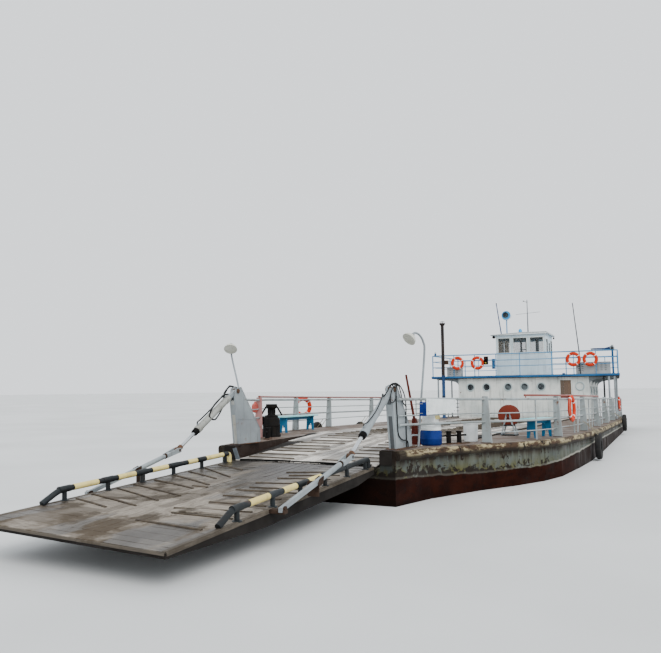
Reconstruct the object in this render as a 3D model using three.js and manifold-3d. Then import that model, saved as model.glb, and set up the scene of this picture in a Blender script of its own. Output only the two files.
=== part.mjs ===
// A river passenger and vehicle ferry with a hinged bow ramp, in millimetres, +Z up.
// Pieces are placed in the ship's own frame: +X to the bow, +Y to port,
// X = 0 at the ramp's hinge and Z = 0 on the steel deck.
// The whole group is then set with its origin at the middle of the bottom of its box.
import * as THREE from "three";
import { mergeVertices } from "three/addons/utils/BufferGeometryUtils.js";
import Module from "manifold-3d";

const wasm = await Module();
wasm.setup();

// Driving dimensions
const SEAT = 0.3; // gap between pieces that rest on each other
const DEPTH = 2000; // deck down to the flat bottom
const BELT_HIGH = 200;
const BELT_THICK = 120;
const PLANK_THICK = 40;
const LANE_DROP = 370; // how far the lane's steel floor dips at the hinge
const LANE_END = -5200; // where the sloping lane meets the deck
const LANE_HALF_BOW = 1800;
const LANE_HALF_DECK = 2650;
const HINGE_Z = -420;
const RAMP_SLOPE = THREE.MathUtils.degToRad(3.05);
const RAMP_LENGTH = 6430;
const RAMP_HALF = 1780;
const RAMP_TOP = 90; // ramp's deck above the hinge's axis
const RAMP_START = 75;
const RAMP_SAG = 100; // how far its port corner has sagged at the tip
const LIFT_Y = 2000; // plane of the lifting cylinders, off the centre line
const LIFT_PIN = { x: -350, z: 1270 };
const LIFT_EYE = { x: 1700, z: 20 };
const PYLON_WIDE = 165;
const PIN_RADIUS = 25;
const PIN_HOLE = (PIN_RADIUS + SEAT) / Math.cos(Math.PI / 12); // twelve-sided hole, clear at its flats
const BARREL_RADIUS = 88;
const ROD_RADIUS = 42;
const ROD_SIDES = 12;
const RAIL_TOP = 1060;
const RAIL_RADIUS = 32; // top rail's pipe
const HOUSE_FRONT = -24450;
const HOUSE_AFT = -29300;
const HOUSE_HALF = 3500;
const WALL = 60;
const BRIDGE_UNDER = 2220;
const BRIDGE_TOP = 2360;
const BRIDGE_FRONT = -24240;
const BRIDGE_AFT = -29900;
const BRIDGE_HALF = { front: 5030, aft: 4650 };
const CABIN_FRONT = -24640;
const CABIN_AFT = -27080;
const CABIN_HALF = 1340;
const CABIN_TOP = 4620;
const ROOF_OVER = { front: 120, port: 120, starboard: 270 };
const ROOF_THICK = { port: 110, middle: 120, starboard: 40 };
const RING_RADIUS = 300; // life ring's middle circle
const RING_TUBE = 80;

// Paint and bare materials, as seen
const paint = (color, roughness, metalness) =>
  new THREE.MeshStandardMaterial({ color, roughness, metalness });
const look = {
  hull: paint(0x8c958f, 0.7, 0.1),
  rust: paint(0x6b4a33, 0.9, 0.1),
  planks: paint(0x7f776c, 0.9, 0.0),
  grey: paint(0xa9b0b2, 0.55, 0.2),
  dark: paint(0x2b3033, 0.6, 0.3),
  kerb: paint(0x3a3c40, 0.6, 0.2),
  white: paint(0xcbd6d8, 0.5, 0.05),
  blue: paint(0x2e73a8, 0.5, 0.05),
  teal: paint(0x1f7fa8, 0.6, 0.0),
  orange: paint(0xe0583a, 0.6, 0.0),
  red: paint(0xb0462f, 0.7, 0.0),
  chrome: paint(0xc8ccce, 0.2, 1.0),
  bronze: paint(0x9a7b3c, 0.35, 0.9),
  rubber: paint(0x1d1d1e, 0.9, 0.0),
};

// Shapes
const X_AXIS = new THREE.Vector3(1, 0, 0);
const Y_AXIS = new THREE.Vector3(0, 1, 0);
const Z_AXIS = new THREE.Vector3(0, 0, 1);
const at = (x, y, z) => new THREE.Vector3(x, y, z);

function solid(geometry) {
  geometry.deleteAttribute("normal");
  geometry.deleteAttribute("uv");
  const merged = mergeVertices(geometry, 1e-3);
  const made = new wasm.Manifold(
    new wasm.Mesh({
      numProp: 3,
      vertProperties: merged.attributes.position.array,
      triVerts: new Uint32Array(merged.index.array),
    }),
  );
  if (made.volume() < 0) throw new Error("a solid is inside out");
  return made;
}

const join = (solids) => wasm.Manifold.union(solids);
const cut = (body, tools) => body.subtract(join(tools));

function box(x0, x1, y0, y1, z0, z1) {
  const made = new THREE.BoxGeometry(x1 - x0, y1 - y0, z1 - z0);
  made.translate((x0 + x1) / 2, (y0 + y1) / 2, (z0 + z1) / 2);
  return solid(made);
}

const outline = (points) =>
  new THREE.Shape(points.map(([a, b]) => new THREE.Vector2(a, b)));

const slab = (shape, depth) =>
  new THREE.ExtrudeGeometry(shape, { depth, bevelEnabled: false, curveSegments: 6 });

// A side view in X and Z, as thick as from y0 to y1.
const sideProfile = (points, y0, y1) =>
  solid(slab(outline(points), y1 - y0).rotateX(Math.PI / 2).translate(0, y1, 0));

// A plan in X and Y, from z0 up to z1.
const planProfile = (points, z0, z1) =>
  solid(slab(outline(points), z1 - z0).translate(0, 0, z0));

// A front view in Y and Z, from x0 to x1.
function frontProfile(points, x0, x1) {
  const turn = new THREE.Matrix4().makeBasis(Y_AXIS, Z_AXIS, X_AXIS);
  return solid(slab(outline(points), x1 - x0).applyMatrix4(turn).translate(x0, 0, 0));
}

function rod(from, to, radius, sides = 8, endRadius = radius) {
  const along = to.clone().sub(from);
  const made = new THREE.CylinderGeometry(endRadius, radius, along.length(), sides);
  const turn = new THREE.Quaternion().setFromUnitVectors(Y_AXIS, along.normalize());
  made.applyQuaternion(turn);
  const middle = from.clone().add(to).multiplyScalar(0.5);
  return solid(made.translate(middle.x, middle.y, middle.z));
}

// A straight bar of a rectangular section, wide across and high up.
function bar(from, to, wide, high) {
  const along = to.clone().sub(from);
  const length = along.length();
  const ex = along.normalize();
  const upright = Math.abs(ex.z) > 0.99;
  const ey = upright ? Y_AXIS.clone() : Z_AXIS.clone().cross(ex).normalize();
  const ez = ex.clone().cross(ey);
  const made = new THREE.BoxGeometry(length, wide, high);
  made.applyMatrix4(new THREE.Matrix4().makeBasis(ex, ey, ez));
  const middle = from.clone().add(to).multiplyScalar(0.5);
  return solid(made.translate(middle.x, middle.y, middle.z));
}

function bentPipe(points, radius, steps = 8, sides = 8) {
  const shape = new THREE.Shape();
  for (let i = 0; i < sides; i++) {
    const turn = (2 * Math.PI * i) / sides;
    const x = radius * Math.cos(turn);
    const y = radius * Math.sin(turn);
    if (i) shape.lineTo(x, y);
    else shape.moveTo(x, y);
  }
  const extrudePath = new THREE.CatmullRomCurve3(points);
  return solid(new THREE.ExtrudeGeometry(shape, { steps, extrudePath }));
}

// A turned piece about its own Z axis, its profile as [radius, height] pairs.
function turned(profile, segments = 12) {
  const points = profile.map(([r, h]) => new THREE.Vector2(r, h));
  return new THREE.LatheGeometry(points, segments).rotateX(Math.PI / 2);
}

// A torus about an axis, six-sided in section, so that its flanks lie nearer than its tube.
const RING_FLANK = Math.sin(Math.PI / 3);

function ring(centre, axis, radius, tube, flat = 1) {
  const profile = [];
  const SIDES = 6;
  for (let i = 0; i <= SIDES; i++) {
    const turn = (2 * Math.PI * (i % SIDES)) / SIDES;
    profile.push([radius + tube * Math.cos(turn), flat * tube * Math.sin(turn)]);
  }
  const made = turned(profile, 12);
  made.applyQuaternion(new THREE.Quaternion().setFromUnitVectors(Z_AXIS, axis));
  return solid(made.translate(centre.x, centre.y, centre.z));
}

// A skin over a row of sections that all have the same number of points.
function loft(sections) {
  const count = sections[0].length;
  const positions = sections.flat().flatMap((p) => [p.x, p.y, p.z]);
  const index = [];
  for (let s = 0; s + 1 < sections.length; s++)
    for (let i = 0; i < count; i++) {
      const a = s * count + i;
      const b = s * count + ((i + 1) % count);
      index.push(a, b, a + count, b, b + count, a + count);
    }
  const last = (sections.length - 1) * count;
  for (let i = 1; i + 1 < count; i++) {
    index.push(0, i + 1, i);
    index.push(last, last + i, last + i + 1);
  }
  const made = new THREE.BufferGeometry();
  made.setAttribute("position", new THREE.Float32BufferAttribute(positions, 3));
  made.setIndex(index);
  return solid(made);
}

const ferry = new THREE.Group();

function piece(name, body, material, parent = ferry) {
  const data = body.getMesh();
  const made = new THREE.BufferGeometry();
  const positions = new Float32Array(data.vertProperties);
  made.setAttribute("position", new THREE.BufferAttribute(positions, 3));
  made.setIndex(new THREE.BufferAttribute(new Uint32Array(data.triVerts), 1));
  made.computeVertexNormals();
  const mesh = new THREE.Mesh(made, material);
  mesh.name = name;
  parent.add(mesh);
  return mesh;
}

const SIDES_OF_SHIP = [
  { side: "port", s: 1 },
  { side: "starboard", s: -1 },
];

// Hull sections, bow to stern: x, half-beam, knuckle's height, bottom's half-beam and height
const STATIONS = [
  [-120, 2170, -450, 1950, -600],
  [-1400, 2500, -600, 2250, -900],
  [-3000, 3200, -760, 2950, -1300],
  [-4100, 3800, -820, 3550, -1550],
  [-5200, 4280, -900, 4050, -1750],
  [-6300, 4560, -1250, 4200, -1900],
  [-8600, 4760, -1560, 4360, -DEPTH],
  [-10600, 4880, -1600, 4480, -DEPTH],
  [-14000, 4930, -1600, 4530, -DEPTH],
  [-25000, 4930, -1600, 4530, -DEPTH],
  [-28600, 4900, -800, 4500, -1000],
  [-30400, 4740, -760, 4300, -930],
  [-31000, 4400, -740, 3980, -900],
];
const DECK_EDGE = STATIONS.map(([x, half]) => [x, half]);

// The deck's half-beam at any x, along the straight runs between sections.
function deckHalf(x) {
  const i = Math.max(1, DECK_EDGE.findIndex(([sx]) => sx <= x));
  const [x0, h0] = DECK_EDGE[i - 1];
  const [x1, h1] = DECK_EDGE[i];
  return h0 + ((h1 - h0) * (x - x0)) / (x1 - x0);
}

// The way out, square to the deck's edge, at any x on a side.
function outwards(x, s) {
  const slope = deckHalf(x + 1) - deckHalf(x);
  return at(-slope, s, 0).normalize();
}

// The height of the hull's bottom at any x.
function bottomAt(x) {
  const i = Math.max(1, STATIONS.findIndex(([sx]) => sx <= x));
  const [x0, , , , z0] = STATIONS[i - 1];
  const [x1, , , , z1] = STATIONS[i];
  return z0 + ((z1 - z0) * (x - x0)) / (x1 - x0);
}

const section = ([x, half, knuckle, bottomHalf, bottom]) => [
  at(x, half, 0),
  at(x, half, knuckle),
  at(x, bottomHalf, bottom),
  at(x, -bottomHalf, bottom),
  at(x, -half, knuckle),
  at(x, -half, 0),
];

// Hinge knuckles across the bow: y from, y to; the hull's and the ramp's take turns
const HULL_KNUCKLES = [
  [-1500, -1300],
  [-560, -360],
  [360, 560],
  [1300, 1500],
];
const RAMP_KNUCKLES = [
  [-1299.5, -1120],
  [-359.5, -180],
  [180, 359.5],
  [1120, 1299.5],
];
const KNUCKLE_RADIUS = 58;

function hull() {
  const body = loft(STATIONS.map(section));
  const laneTool = loft(
    [
      [200, LANE_HALF_BOW - 30, -LANE_DROP - 15],
      [LANE_END - 300, LANE_HALF_DECK + 50, 21],
    ].map(([x, half, floor]) => [
      at(x, half, 100),
      at(x, half, floor),
      at(x, -half, floor),
      at(x, -half, 100),
    ]),
  );
  const knuckles = HULL_KNUCKLES.flatMap(([y0, y1]) => [
    rod(at(0, y0, HINGE_Z), at(0, y1, HINGE_Z), KNUCKLE_RADIUS, 12),
    box(-160, 0, y0, y1, HINGE_Z - 50, HINGE_Z + 30),
  ]);
  const pins = RAMP_KNUCKLES.map(([y0, y1]) =>
    rod(at(0, y0 - 10, HINGE_Z), at(0, y1 + 10, HINGE_Z), PIN_RADIUS, 12),
  );
  const shafts = SIDES_OF_SHIP.flatMap(({ s }) => [
    rod(at(-26200, s * SCREW.y, SCREW.z), at(SCREW.x + 330, s * SCREW.y, SCREW.z), 75, 10),
    bar(
      at(SCREW.x + 480, s * SCREW.y, SCREW.z),
      at(SCREW.x + 480, s * SCREW.y, -900),
      60,
      200,
    ),
  ]);
  const fittings = [...knuckles, ...pins, ...shafts];
  piece("hull", join([cut(body, [laneTool]), ...fittings]), look.hull);
}

function rubbingBelt() {
  const inner = DECK_EDGE.map(([x, half]) => [x, half + 0.5]);
  const outer = DECK_EDGE.map(([x, half]) => [x, half + BELT_THICK]);
  const [sternX, sternHalf] = DECK_EDGE.at(-1);
  const back = sternX - 0.5;
  const far = sternX - BELT_THICK;
  const ringOf = (edge, x) => [
    ...edge,
    [x, sternHalf],
    [x, -sternHalf],
    ...edge.map(([ex, half]) => [ex, -half]).reverse(),
  ];
  const whole = planProfile(ringOf(outer, far), -BELT_HIGH, 0);
  const hole = planProfile(ringOf(inner, back), -BELT_HIGH - 10, 10);
  const bowGap = box(-130, 500, -6000, 6000, -500, 500);
  const hole2 = box(-400, 500, -2000, 2000, -500, 500);
  piece("rubbing_belt", cut(whole, [hole, bowGap, hole2]), look.rust);
}

function deckPlanking() {
  const side = sideProfile(
    [
      [-45, -LANE_DROP + 4],
      [-45, -LANE_DROP + PLANK_THICK + 4],
      [LANE_END, PLANK_THICK + SEAT],
      [HOUSE_FRONT + 130, PLANK_THICK + SEAT],
      [HOUSE_FRONT + 130, SEAT],
      [LANE_END, SEAT],
    ],
    -LANE_HALF_DECK,
    LANE_HALF_DECK,
  );
  const edge = LANE_HALF_DECK - 10;
  const bow = LANE_HALF_BOW - 60;
  const plan = planProfile(
    [
      [0, -bow],
      [LANE_END, -edge],
      [HOUSE_FRONT, -edge],
      [HOUSE_FRONT, edge],
      [LANE_END, edge],
      [0, bow],
    ],
    -600,
    200,
  );
  piece("deck_planking", side.intersect(plan), look.planks);
}

// Pylons with their lamps
const PYLON_SIDE = [
  [-420, SEAT],
  [-170, 1300],
  [-470, 1360],
  [-1300, 360],
  [-1330, SEAT],
];

// The dish shade of a lamp: its middle, and the way that its mouth looks.
function lampShade(centre, mouth) {
  const shade = turned(
    [
      [0, 60],
      [50, 50],
      [150, -60],
      [165, -60],
      [150, -10],
      [60, 80],
      [0, 90],
    ],
    12,
  );
  const up = at(...mouth).normalize().negate();
  shade.applyQuaternion(new THREE.Quaternion().setFromUnitVectors(Z_AXIS, up));
  return solid(shade.translate(centre.x, centre.y, centre.z));
}

function pylons() {
  for (const { side, s } of SIDES_OF_SHIP) {
    const y = s * LIFT_Y;
    const half = PYLON_WIDE / 2;
    const body = sideProfile(PYLON_SIDE, y - half, y + half);
    const slot = box(-560, 0, y - 45, y + 45, 950, 1500);
    const foot = planProfile(
      [
        [-1420, y - s * 150],
        [-380, y - s * 130],
        [-380, y + s * 150],
        [-1420, y + s * 230],
      ],
      SEAT,
      25,
    );
    const lamp =
      s > 0
        ? [
            bar(at(-1250, y, 250), at(-1640, 2150, 250), 60, 60),
            bentPipe(
              [
                at(-1640, 2140, 30),
                at(-1640, 2210, 900),
                at(-1640, 2320, 2180),
                at(-1560, 2270, 2520),
                at(-1360, 2180, 2560),
                at(-1250, 2130, 2480),
              ],
              24,
              14,
            ),
            lampShade(at(-1250, 2130, 2440), [0.66, -0.35, -0.67]),
          ]
        : [
            bentPipe(
              [
                at(-640, -2000, 950),
                at(-730, -2200, 1500),
                at(-880, -2490, 2160),
                at(-862, -2482, 2400),
                at(-795, -2448, 2437),
              ],
              24,
              18,
            ),
            lampShade(at(-740, -2420, 2360), [0.55, 0.28, -0.78]),
          ];
    const pin = rod(
      at(LIFT_PIN.x, y - 60, LIFT_PIN.z),
      at(LIFT_PIN.x, y + 60, LIFT_PIN.z),
      PIN_RADIUS,
      12,
    );
    piece("pylon_" + side, join([cut(body, [slot]), pin, foot, ...lamp]), look.grey);
  }
}

// Side rails: x of each flat post
const POSTS = {
  port: [-3500, -7030, -10950, -14900, -18700, -22500],
  starboard: [-3050, -7650, -10600, -14900, -18700, -22500],
};
// Rails along each side: height and radius of the pipe
const SIDE_RAILS = {
  port: [
    [RAIL_TOP, RAIL_RADIUS],
    [710, 16],
    [510, 30],
    [240, 16],
  ],
  starboard: [
    [RAIL_TOP, RAIL_RADIUS],
    [800, 16],
    [560, 30],
    [330, 16],
  ],
};
const RAIL_INSET = { port: 250, starboard: 150, stern: 150 };
const RAIL_BREAK = -10950; // the port rail's two lengths meet behind this post

// The line that the rails follow, a fixed distance inside the deck's edge.
const railPath = (from, to, inset) => [
  [from, deckHalf(from) - inset],
  ...DECK_EDGE.filter(([x]) => x < from && x > to).map(([x, h]) => [x, h - inset]),
  [to, deckHalf(to) - inset],
];

const pipeRun = (path, s, z, radius, sides = 4) =>
  path
    .slice(1)
    .map(([x, y], i) =>
      rod(at(path[i][0], s * path[i][1], z), at(x, s * y, z), radius, sides),
    );

// A length of side rail: its path, its posts' places, and the stretch with a handrail.
function railLength(name, s, inset, path, posts, hand) {
  const pipes = s > 0 ? SIDE_RAILS.port : SIDE_RAILS.starboard;
  const rails = pipes.flatMap(([z, radius]) => pipeRun(path, s, z, radius));
  const flats = posts.map((x) => {
    const y = s * (deckHalf(x) - inset);
    return frontProfile(
      [
        [y - s * 100, SEAT],
        [y - s * 75, 1130],
        [y + s * 65, 1130],
        [y + s * 140, SEAT],
      ],
      x - 40,
      x + 40,
    );
  });
  const top = pipeRun(railPath(...hand, inset), s, 1155, 26);
  piece(name, join([...rails, ...flats, ...top]), look.grey);
}

function sideRails() {
  const bow = LIFT_Y + PYLON_WIDE / 2 + RAIL_RADIUS + SEAT;
  const beside = [
    [-500, bow],
    [-900, bow],
  ];
  const end = HOUSE_FRONT + 250;
  for (const { side, s } of SIDES_OF_SHIP) {
    const inset = RAIL_INSET[side];
    const stop = s > 0 ? RAIL_BREAK : end;
    const start = [...beside, ...railPath(-1400, stop, inset)];
    const fore = POSTS[side].filter((x) => x >= stop);
    const hand = s > 0 ? [-4900, RAIL_BREAK] : [-4900, -16000];
    railLength("side_rail_" + side, s, inset, start, [...fore, ...(s > 0 ? [] : [end])], hand);
  }
  const behind = RAIL_BREAK - 40 - 2 * SEAT;
  railLength(
    "side_rail_port_aft",
    1,
    RAIL_INSET.port,
    railPath(behind, end, RAIL_INSET.port),
    [...POSTS.port.filter((x) => x < RAIL_BREAK), end],
    [behind, -16000],
  );
}

function sternRail() {
  const start = HOUSE_FRONT - 100;
  const path = railPath(start, -30400, RAIL_INSET.stern);
  const [endX, endHalf] = [-30850, 4300];
  const around = [...path, [endX, endHalf]];
  const pipes = SIDE_RAILS.starboard;
  const parts = [];
  for (const { s } of SIDES_OF_SHIP) {
    for (const [z, radius] of pipes) parts.push(...pipeRun(around, s, z, radius));
    for (const x of [start, -26500, -28500, -30400]) {
      const y = s * (deckHalf(x) - RAIL_INSET.stern);
      parts.push(rod(at(x, y, SEAT), at(x, y, RAIL_TOP), 32, 4));
    }
  }
  for (const [z, radius] of pipes)
    parts.push(rod(at(endX, -endHalf, z), at(endX, endHalf, z), radius, 4));
  for (const y of [-4300, -2150, 0, 2150, 4300])
    parts.push(rod(at(endX, y, SEAT), at(endX, y, RAIL_TOP), 32, 4));
  piece("stern_rail", join(parts), look.grey);
}

// Things on the foredeck
const CAPSTAN = { x: -3750, y: -3100 };

function capstan() {
  const base = turned(
    [
      [0, SEAT],
      [275, SEAT],
      [275, 60],
      [255, 80],
      [245, 500],
      [200, 570],
      [0, 570],
    ],
    12,
  );
  const barrel = solid(base.translate(CAPSTAN.x, CAPSTAN.y, 0));
  const motor = box(CAPSTAN.x - 120, CAPSTAN.x + 120, CAPSTAN.y - 248, CAPSTAN.y, SEAT, 520);
  piece("capstan_base", join([barrel, motor]), look.dark);
  const drum = turned(
    [
      [0, 570 + SEAT],
      [190, 570 + SEAT],
      [190, 610],
      [100, 650],
      [90, 780],
      [165, 850],
      [165, 940],
      [0, 940],
    ],
    12,
  );
  const arms = [-1, 1].map((k) =>
    bar(
      at(CAPSTAN.x, CAPSTAN.y + k * 130, 900),
      at(CAPSTAN.x, CAPSTAN.y + k * 290, 600),
      36,
      36,
    ),
  );
  const body = solid(drum.translate(CAPSTAN.x, CAPSTAN.y, 0));
  piece("capstan_drum", join([body, ...arms]), look.dark);
}

// Benches along the rails: side, sign, x from, x to
const BENCHES = [
  ["port", 1, -5450, -7200],
  ["starboard", -1, -5650, -8600],
];
const BENCH_INSET = 290; // its middle, inside the rail's line

function benches() {
  for (const [side, s, x0, x1] of BENCHES) {
    const middle = (x) => s * (deckHalf(x) - RAIL_INSET[side] - BENCH_INSET);
    const y0 = middle(x0);
    const y1 = middle(x1);
    const between = (x) => y0 + ((y1 - y0) * (x - x0)) / (x1 - x0);
    const top = bar(at(x0, y0, 512), at(x1, y1, 512), 340, 46);
    const legs = [x0 - 330, x1 + 330].map((x) => {
      const y = between(x);
      return box(x - 60, x + 60, y - 140, y + 140, SEAT, 500);
    });
    const from = at(x0 - 330, between(x0 - 330), 437);
    const to = at(x1 + 330, between(x1 + 330), 437);
    piece("bench_" + side, join([top, ...legs, bar(from, to, 50, 115)]), look.teal);
  }
}

function deckThings() {
  const barrel = turned(
    [
      [0, SEAT],
      [225, SEAT],
      [250, 60],
      [250, 330],
      [225, 350],
      [235, 360],
      [235, 480],
      [60, 490],
      [0, 490],
    ],
    16,
  );
  piece("barrel", solid(barrel.translate(-2150, 2270, 0)), look.blue);
  for (const { side, s } of SIDES_OF_SHIP) {
    const centres = [
      [-2640, 2540],
      [-2960, 2700],
    ];
    const posts = centres.map(([x, y]) => rod(at(x, s * y, SEAT), at(x, s * y, 310), 58, 12));
    const pin = rod(at(-2510, s * 2475, 200), at(-3090, s * 2765, 200), 16, 6);
    const plate = bar(at(-2450, s * 2445, 13), at(-3150, s * 2795, 13), 260, 25);
    piece("bollards_" + side, join([...posts, pin, plate]), look.dark);
  }
  const locker = [
    box(-4000, -3660, 2560, 2940, 40, 490),
    box(-4015, -3645, 2545, 2955, 470, 500),
    box(-3980, -3680, 2580, 2920, SEAT, 60),
  ];
  piece("deck_locker", join(locker), look.white);
}

const REEL = { x: -7000, y: 3040, z: 590 };

function reel() {
  const cheeks = [-170, 130].map((dx) =>
    frontProfile(
      [
        [REEL.y - 230, SEAT],
        [REEL.y - 50, REEL.z + 50],
        [REEL.y + 50, REEL.z + 50],
        [REEL.y + 230, SEAT],
      ],
      REEL.x + dx,
      REEL.x + dx + 40,
    ),
  );
  const base = box(REEL.x - 170, REEL.x + 170, REEL.y - 230, REEL.y + 230, SEAT, 40);
  piece("reel_stand", join([...cheeks, base]), look.dark);
  const drum = turned(
    [
      [0, -130 + SEAT],
      [45, -130 + SEAT],
      [45, -120],
      [300, -120],
      [300, -95],
      [140, -85],
      [140, 85],
      [300, 95],
      [300, 120],
      [45, 120],
      [45, 130 - SEAT],
      [0, 130 - SEAT],
    ],
    20,
  );
  const turn = new THREE.Quaternion().setFromUnitVectors(Z_AXIS, X_AXIS);
  drum.applyQuaternion(turn);
  piece("reel_drum", solid(drum.translate(REEL.x, REEL.y, REEL.z)), look.red);
}

// Deckhouse: windows as wall, middle along the wall, middle's height, width and height; 0 high is round
const PORTHOLE = 190;

function porthole(x, y, z, axis) {
  const from = at(x, y, z).addScaledVector(axis, -200);
  const to = at(x, y, z).addScaledVector(axis, 200);
  return rod(from, to, PORTHOLE, 12);
}

const HOUSE_DOOR = { x0: -27300, x1: -26600, z0: 120, z1: 1950 };

function deckhouse() {
  const outer = box(
    HOUSE_AFT,
    HOUSE_FRONT,
    -HOUSE_HALF,
    HOUSE_HALF,
    SEAT,
    BRIDGE_UNDER - SEAT,
  );
  const inner = box(
    HOUSE_AFT + WALL,
    HOUSE_FRONT - WALL,
    -HOUSE_HALF + WALL,
    HOUSE_HALF - WALL,
    -10,
    BRIDGE_UNDER + 10,
  );
  const front = [-2800, -1900, -700, 190, 1070, 3050].map((y) =>
    porthole(HOUSE_FRONT, y, 1720, X_AXIS),
  );
  const boarded = box(HOUSE_FRONT - 30, HOUSE_FRONT + 100, 2060, 2610, 1280, 2050);
  const sides = [-25400, -28300].flatMap((x) =>
    SIDES_OF_SHIP.map(({ s }) => porthole(x, s * HOUSE_HALF, 1500, Y_AXIS)),
  );
  const aft = [-2200, 2200].map((y) => porthole(HOUSE_AFT, y, 1600, X_AXIS));
  const doors = [
    box(HOUSE_DOOR.x0, HOUSE_DOOR.x1, -4000, 4000, HOUSE_DOOR.z0, HOUSE_DOOR.z1),
  ];
  const walls = cut(outer, [inner, boarded, ...front, ...sides, ...aft, ...doors]);
  const frames = SIDES_OF_SHIP.flatMap(({ s }) => doorFrame(HOUSE_DOOR, HOUSE_HALF, s));
  piece("deckhouse_walls", join([walls, ...frames]), look.white);
}

// Doors: a leaf in its opening, hung on barrels at its forward edge, outside the wall
const DOOR_GAP = 8;
const DOOR_THICK = 50;
const BARREL = 12; // radius of a door hinge's barrel

const boxAcross = (x0, x1, y0, y1, z0, z1) =>
  box(x0, x1, Math.min(y0, y1), Math.max(y0, y1), z0, z1);

const hingeHeights = (opening) => [opening.z0 + 250, opening.z1 - 330];

function doorLeaf(opening, half, s, window) {
  const leaf = boxAcross(
    opening.x0 + DOOR_GAP,
    opening.x1 - DOOR_GAP,
    s * half,
    s * (half - DOOR_THICK),
    opening.z0 + DOOR_GAP,
    opening.z1 - DOOR_GAP,
  );
  const x = opening.x1 - DOOR_GAP;
  const y = s * (half + BARREL + SEAT);
  const straps = hingeHeights(opening).flatMap((z) => [
    rod(at(x, y, z), at(x, y, z + 80), BARREL, 8),
    boxAcross(x - 160, x - 4, s * (half - 2), s * (half + 8), z + 10, z + 70),
  ]);
  return join([cut(leaf, [window]), ...straps]);
}

// The barrels that the wall carries, just under the leaf's own.
function doorFrame(opening, half, s) {
  const x = opening.x1 - DOOR_GAP;
  const y = s * (half + BARREL + SEAT);
  return hingeHeights(opening).flatMap((z) => [
    rod(at(x, y, z - 60), at(x, y, z - SEAT), BARREL, 8),
    boxAcross(x + 4, x + 90, s * (half - 2), s * (half + 10), z - 55, z - 5),
  ]);
}

function houseDoors() {
  for (const { side, s } of SIDES_OF_SHIP) {
    const middle = (HOUSE_DOOR.x0 + HOUSE_DOOR.x1) / 2;
    const light = porthole(middle, s * HOUSE_HALF, 1500, Y_AXIS);
    const leaf = doorLeaf(HOUSE_DOOR, HOUSE_HALF, s, light);
    piece("deckhouse_door_" + side, leaf, look.white);
  }
}

// Bridge deck with the pillars, the wing brackets and the davit's post
const PILLARS = [
  [-24330, 4760],
  [-24330, 4490],
  [-24330, 4250],
  [-24330, -4660],
  [-27000, 4660],
  [-27000, -4660],
  [-29700, 4500],
  [-29700, -4500],
];
const DAVIT = { x: -24620, y: 4700, top: 3560 };

// The bridge deck's half-width at any x.
const bridgeHalf = (x) =>
  BRIDGE_HALF.aft +
  ((BRIDGE_HALF.front - BRIDGE_HALF.aft) * (x - BRIDGE_AFT)) / (BRIDGE_FRONT - BRIDGE_AFT);

function bridgeDeck() {
  const deck = planProfile(
    [
      [BRIDGE_AFT, -BRIDGE_HALF.aft],
      [BRIDGE_FRONT, -BRIDGE_HALF.front],
      [BRIDGE_FRONT, BRIDGE_HALF.front],
      [BRIDGE_AFT, BRIDGE_HALF.aft],
    ],
    BRIDGE_UNDER,
    BRIDGE_TOP,
  );
  const pillars = PILLARS.map(([x, y]) =>
    rod(at(x, y, SEAT), at(x, y, BRIDGE_UNDER + 20), 45, 8),
  );
  const brackets = SIDES_OF_SHIP.flatMap(({ s }) =>
    [HOUSE_FRONT - 100, -26200, -27700, -29200].map((x) =>
      frontProfile(
        [
          [s * (HOUSE_HALF + SEAT), BRIDGE_UNDER + 10],
          [s * (bridgeHalf(x) - 150), BRIDGE_UNDER + 10],
          [s * (bridgeHalf(x) - 250), BRIDGE_UNDER - 60],
          [s * (HOUSE_HALF + 200), BRIDGE_UNDER - 140],
          [s * (HOUSE_HALF + SEAT), BRIDGE_UNDER - 400],
        ],
        x - 10,
        x + 10,
      ),
    ),
  );
  const davit = rod(
    at(DAVIT.x, DAVIT.y, BRIDGE_TOP - 20),
    at(DAVIT.x, DAVIT.y, DAVIT.top),
    50,
    8,
  );
  piece("bridge_deck", join([deck, ...pillars, ...brackets, davit]), look.blue);
}

// The davit's arm swings on its post
function davitBoom() {
  const { x, y } = DAVIT;
  const arm = [
    rod(at(x, y, DAVIT.top + SEAT), at(x, y, 3800), 70, 8),
    bar(at(x, y, 3650), at(x, y - 1050, 3670), 70, 80),
    bar(at(x, y, 3770), at(x, y - 380, 3680), 40, 60),
    rod(at(x, y - 1000, 3680), at(x, y - 1000, 3600), 30, 6),
  ];
  piece("davit_boom", join(arm), look.blue);
}

const BRIDGE_POST = 20; // radius of its posts
const BRIDGE_RAILS = [
  [3560, 24],
  [3210, 16],
  [2880, 16],
];

function bridgeRail() {
  const x0 = BRIDGE_FRONT - 70;
  const x1 = BRIDGE_AFT + 70;
  const half = (x) => bridgeHalf(x) - 70;
  const corners = [
    [x0, -half(x0)],
    [x0, half(x0)],
    [x1, half(x1)],
    [x1, -half(x1)],
  ];
  const parts = [];
  for (const [z, radius] of BRIDGE_RAILS)
    corners.forEach(([x, y], i) => {
      const [nx, ny] = corners[(i + 1) % 4];
      parts.push(rod(at(x, y, z), at(nx, ny, z), radius, 4));
    });
  const across = [-3700, -2500, -1300, 0, 1690, 2800, 3900];
  const along = [x0 - 1400, x0 - 2800, x0 - 4200];
  const feet = [
    ...corners,
    ...across.flatMap((y) => [
      [x0, y],
      [x1, y],
    ]),
    ...along.flatMap((x) => [
      [x, -half(x)],
      [x, half(x)],
    ]),
  ];
  for (const [x, y] of feet)
    parts.push(rod(at(x, y, BRIDGE_TOP + SEAT), at(x, y, 3560), BRIDGE_POST, 4));
  piece("bridge_rail", join(parts), look.blue);
}

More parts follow.
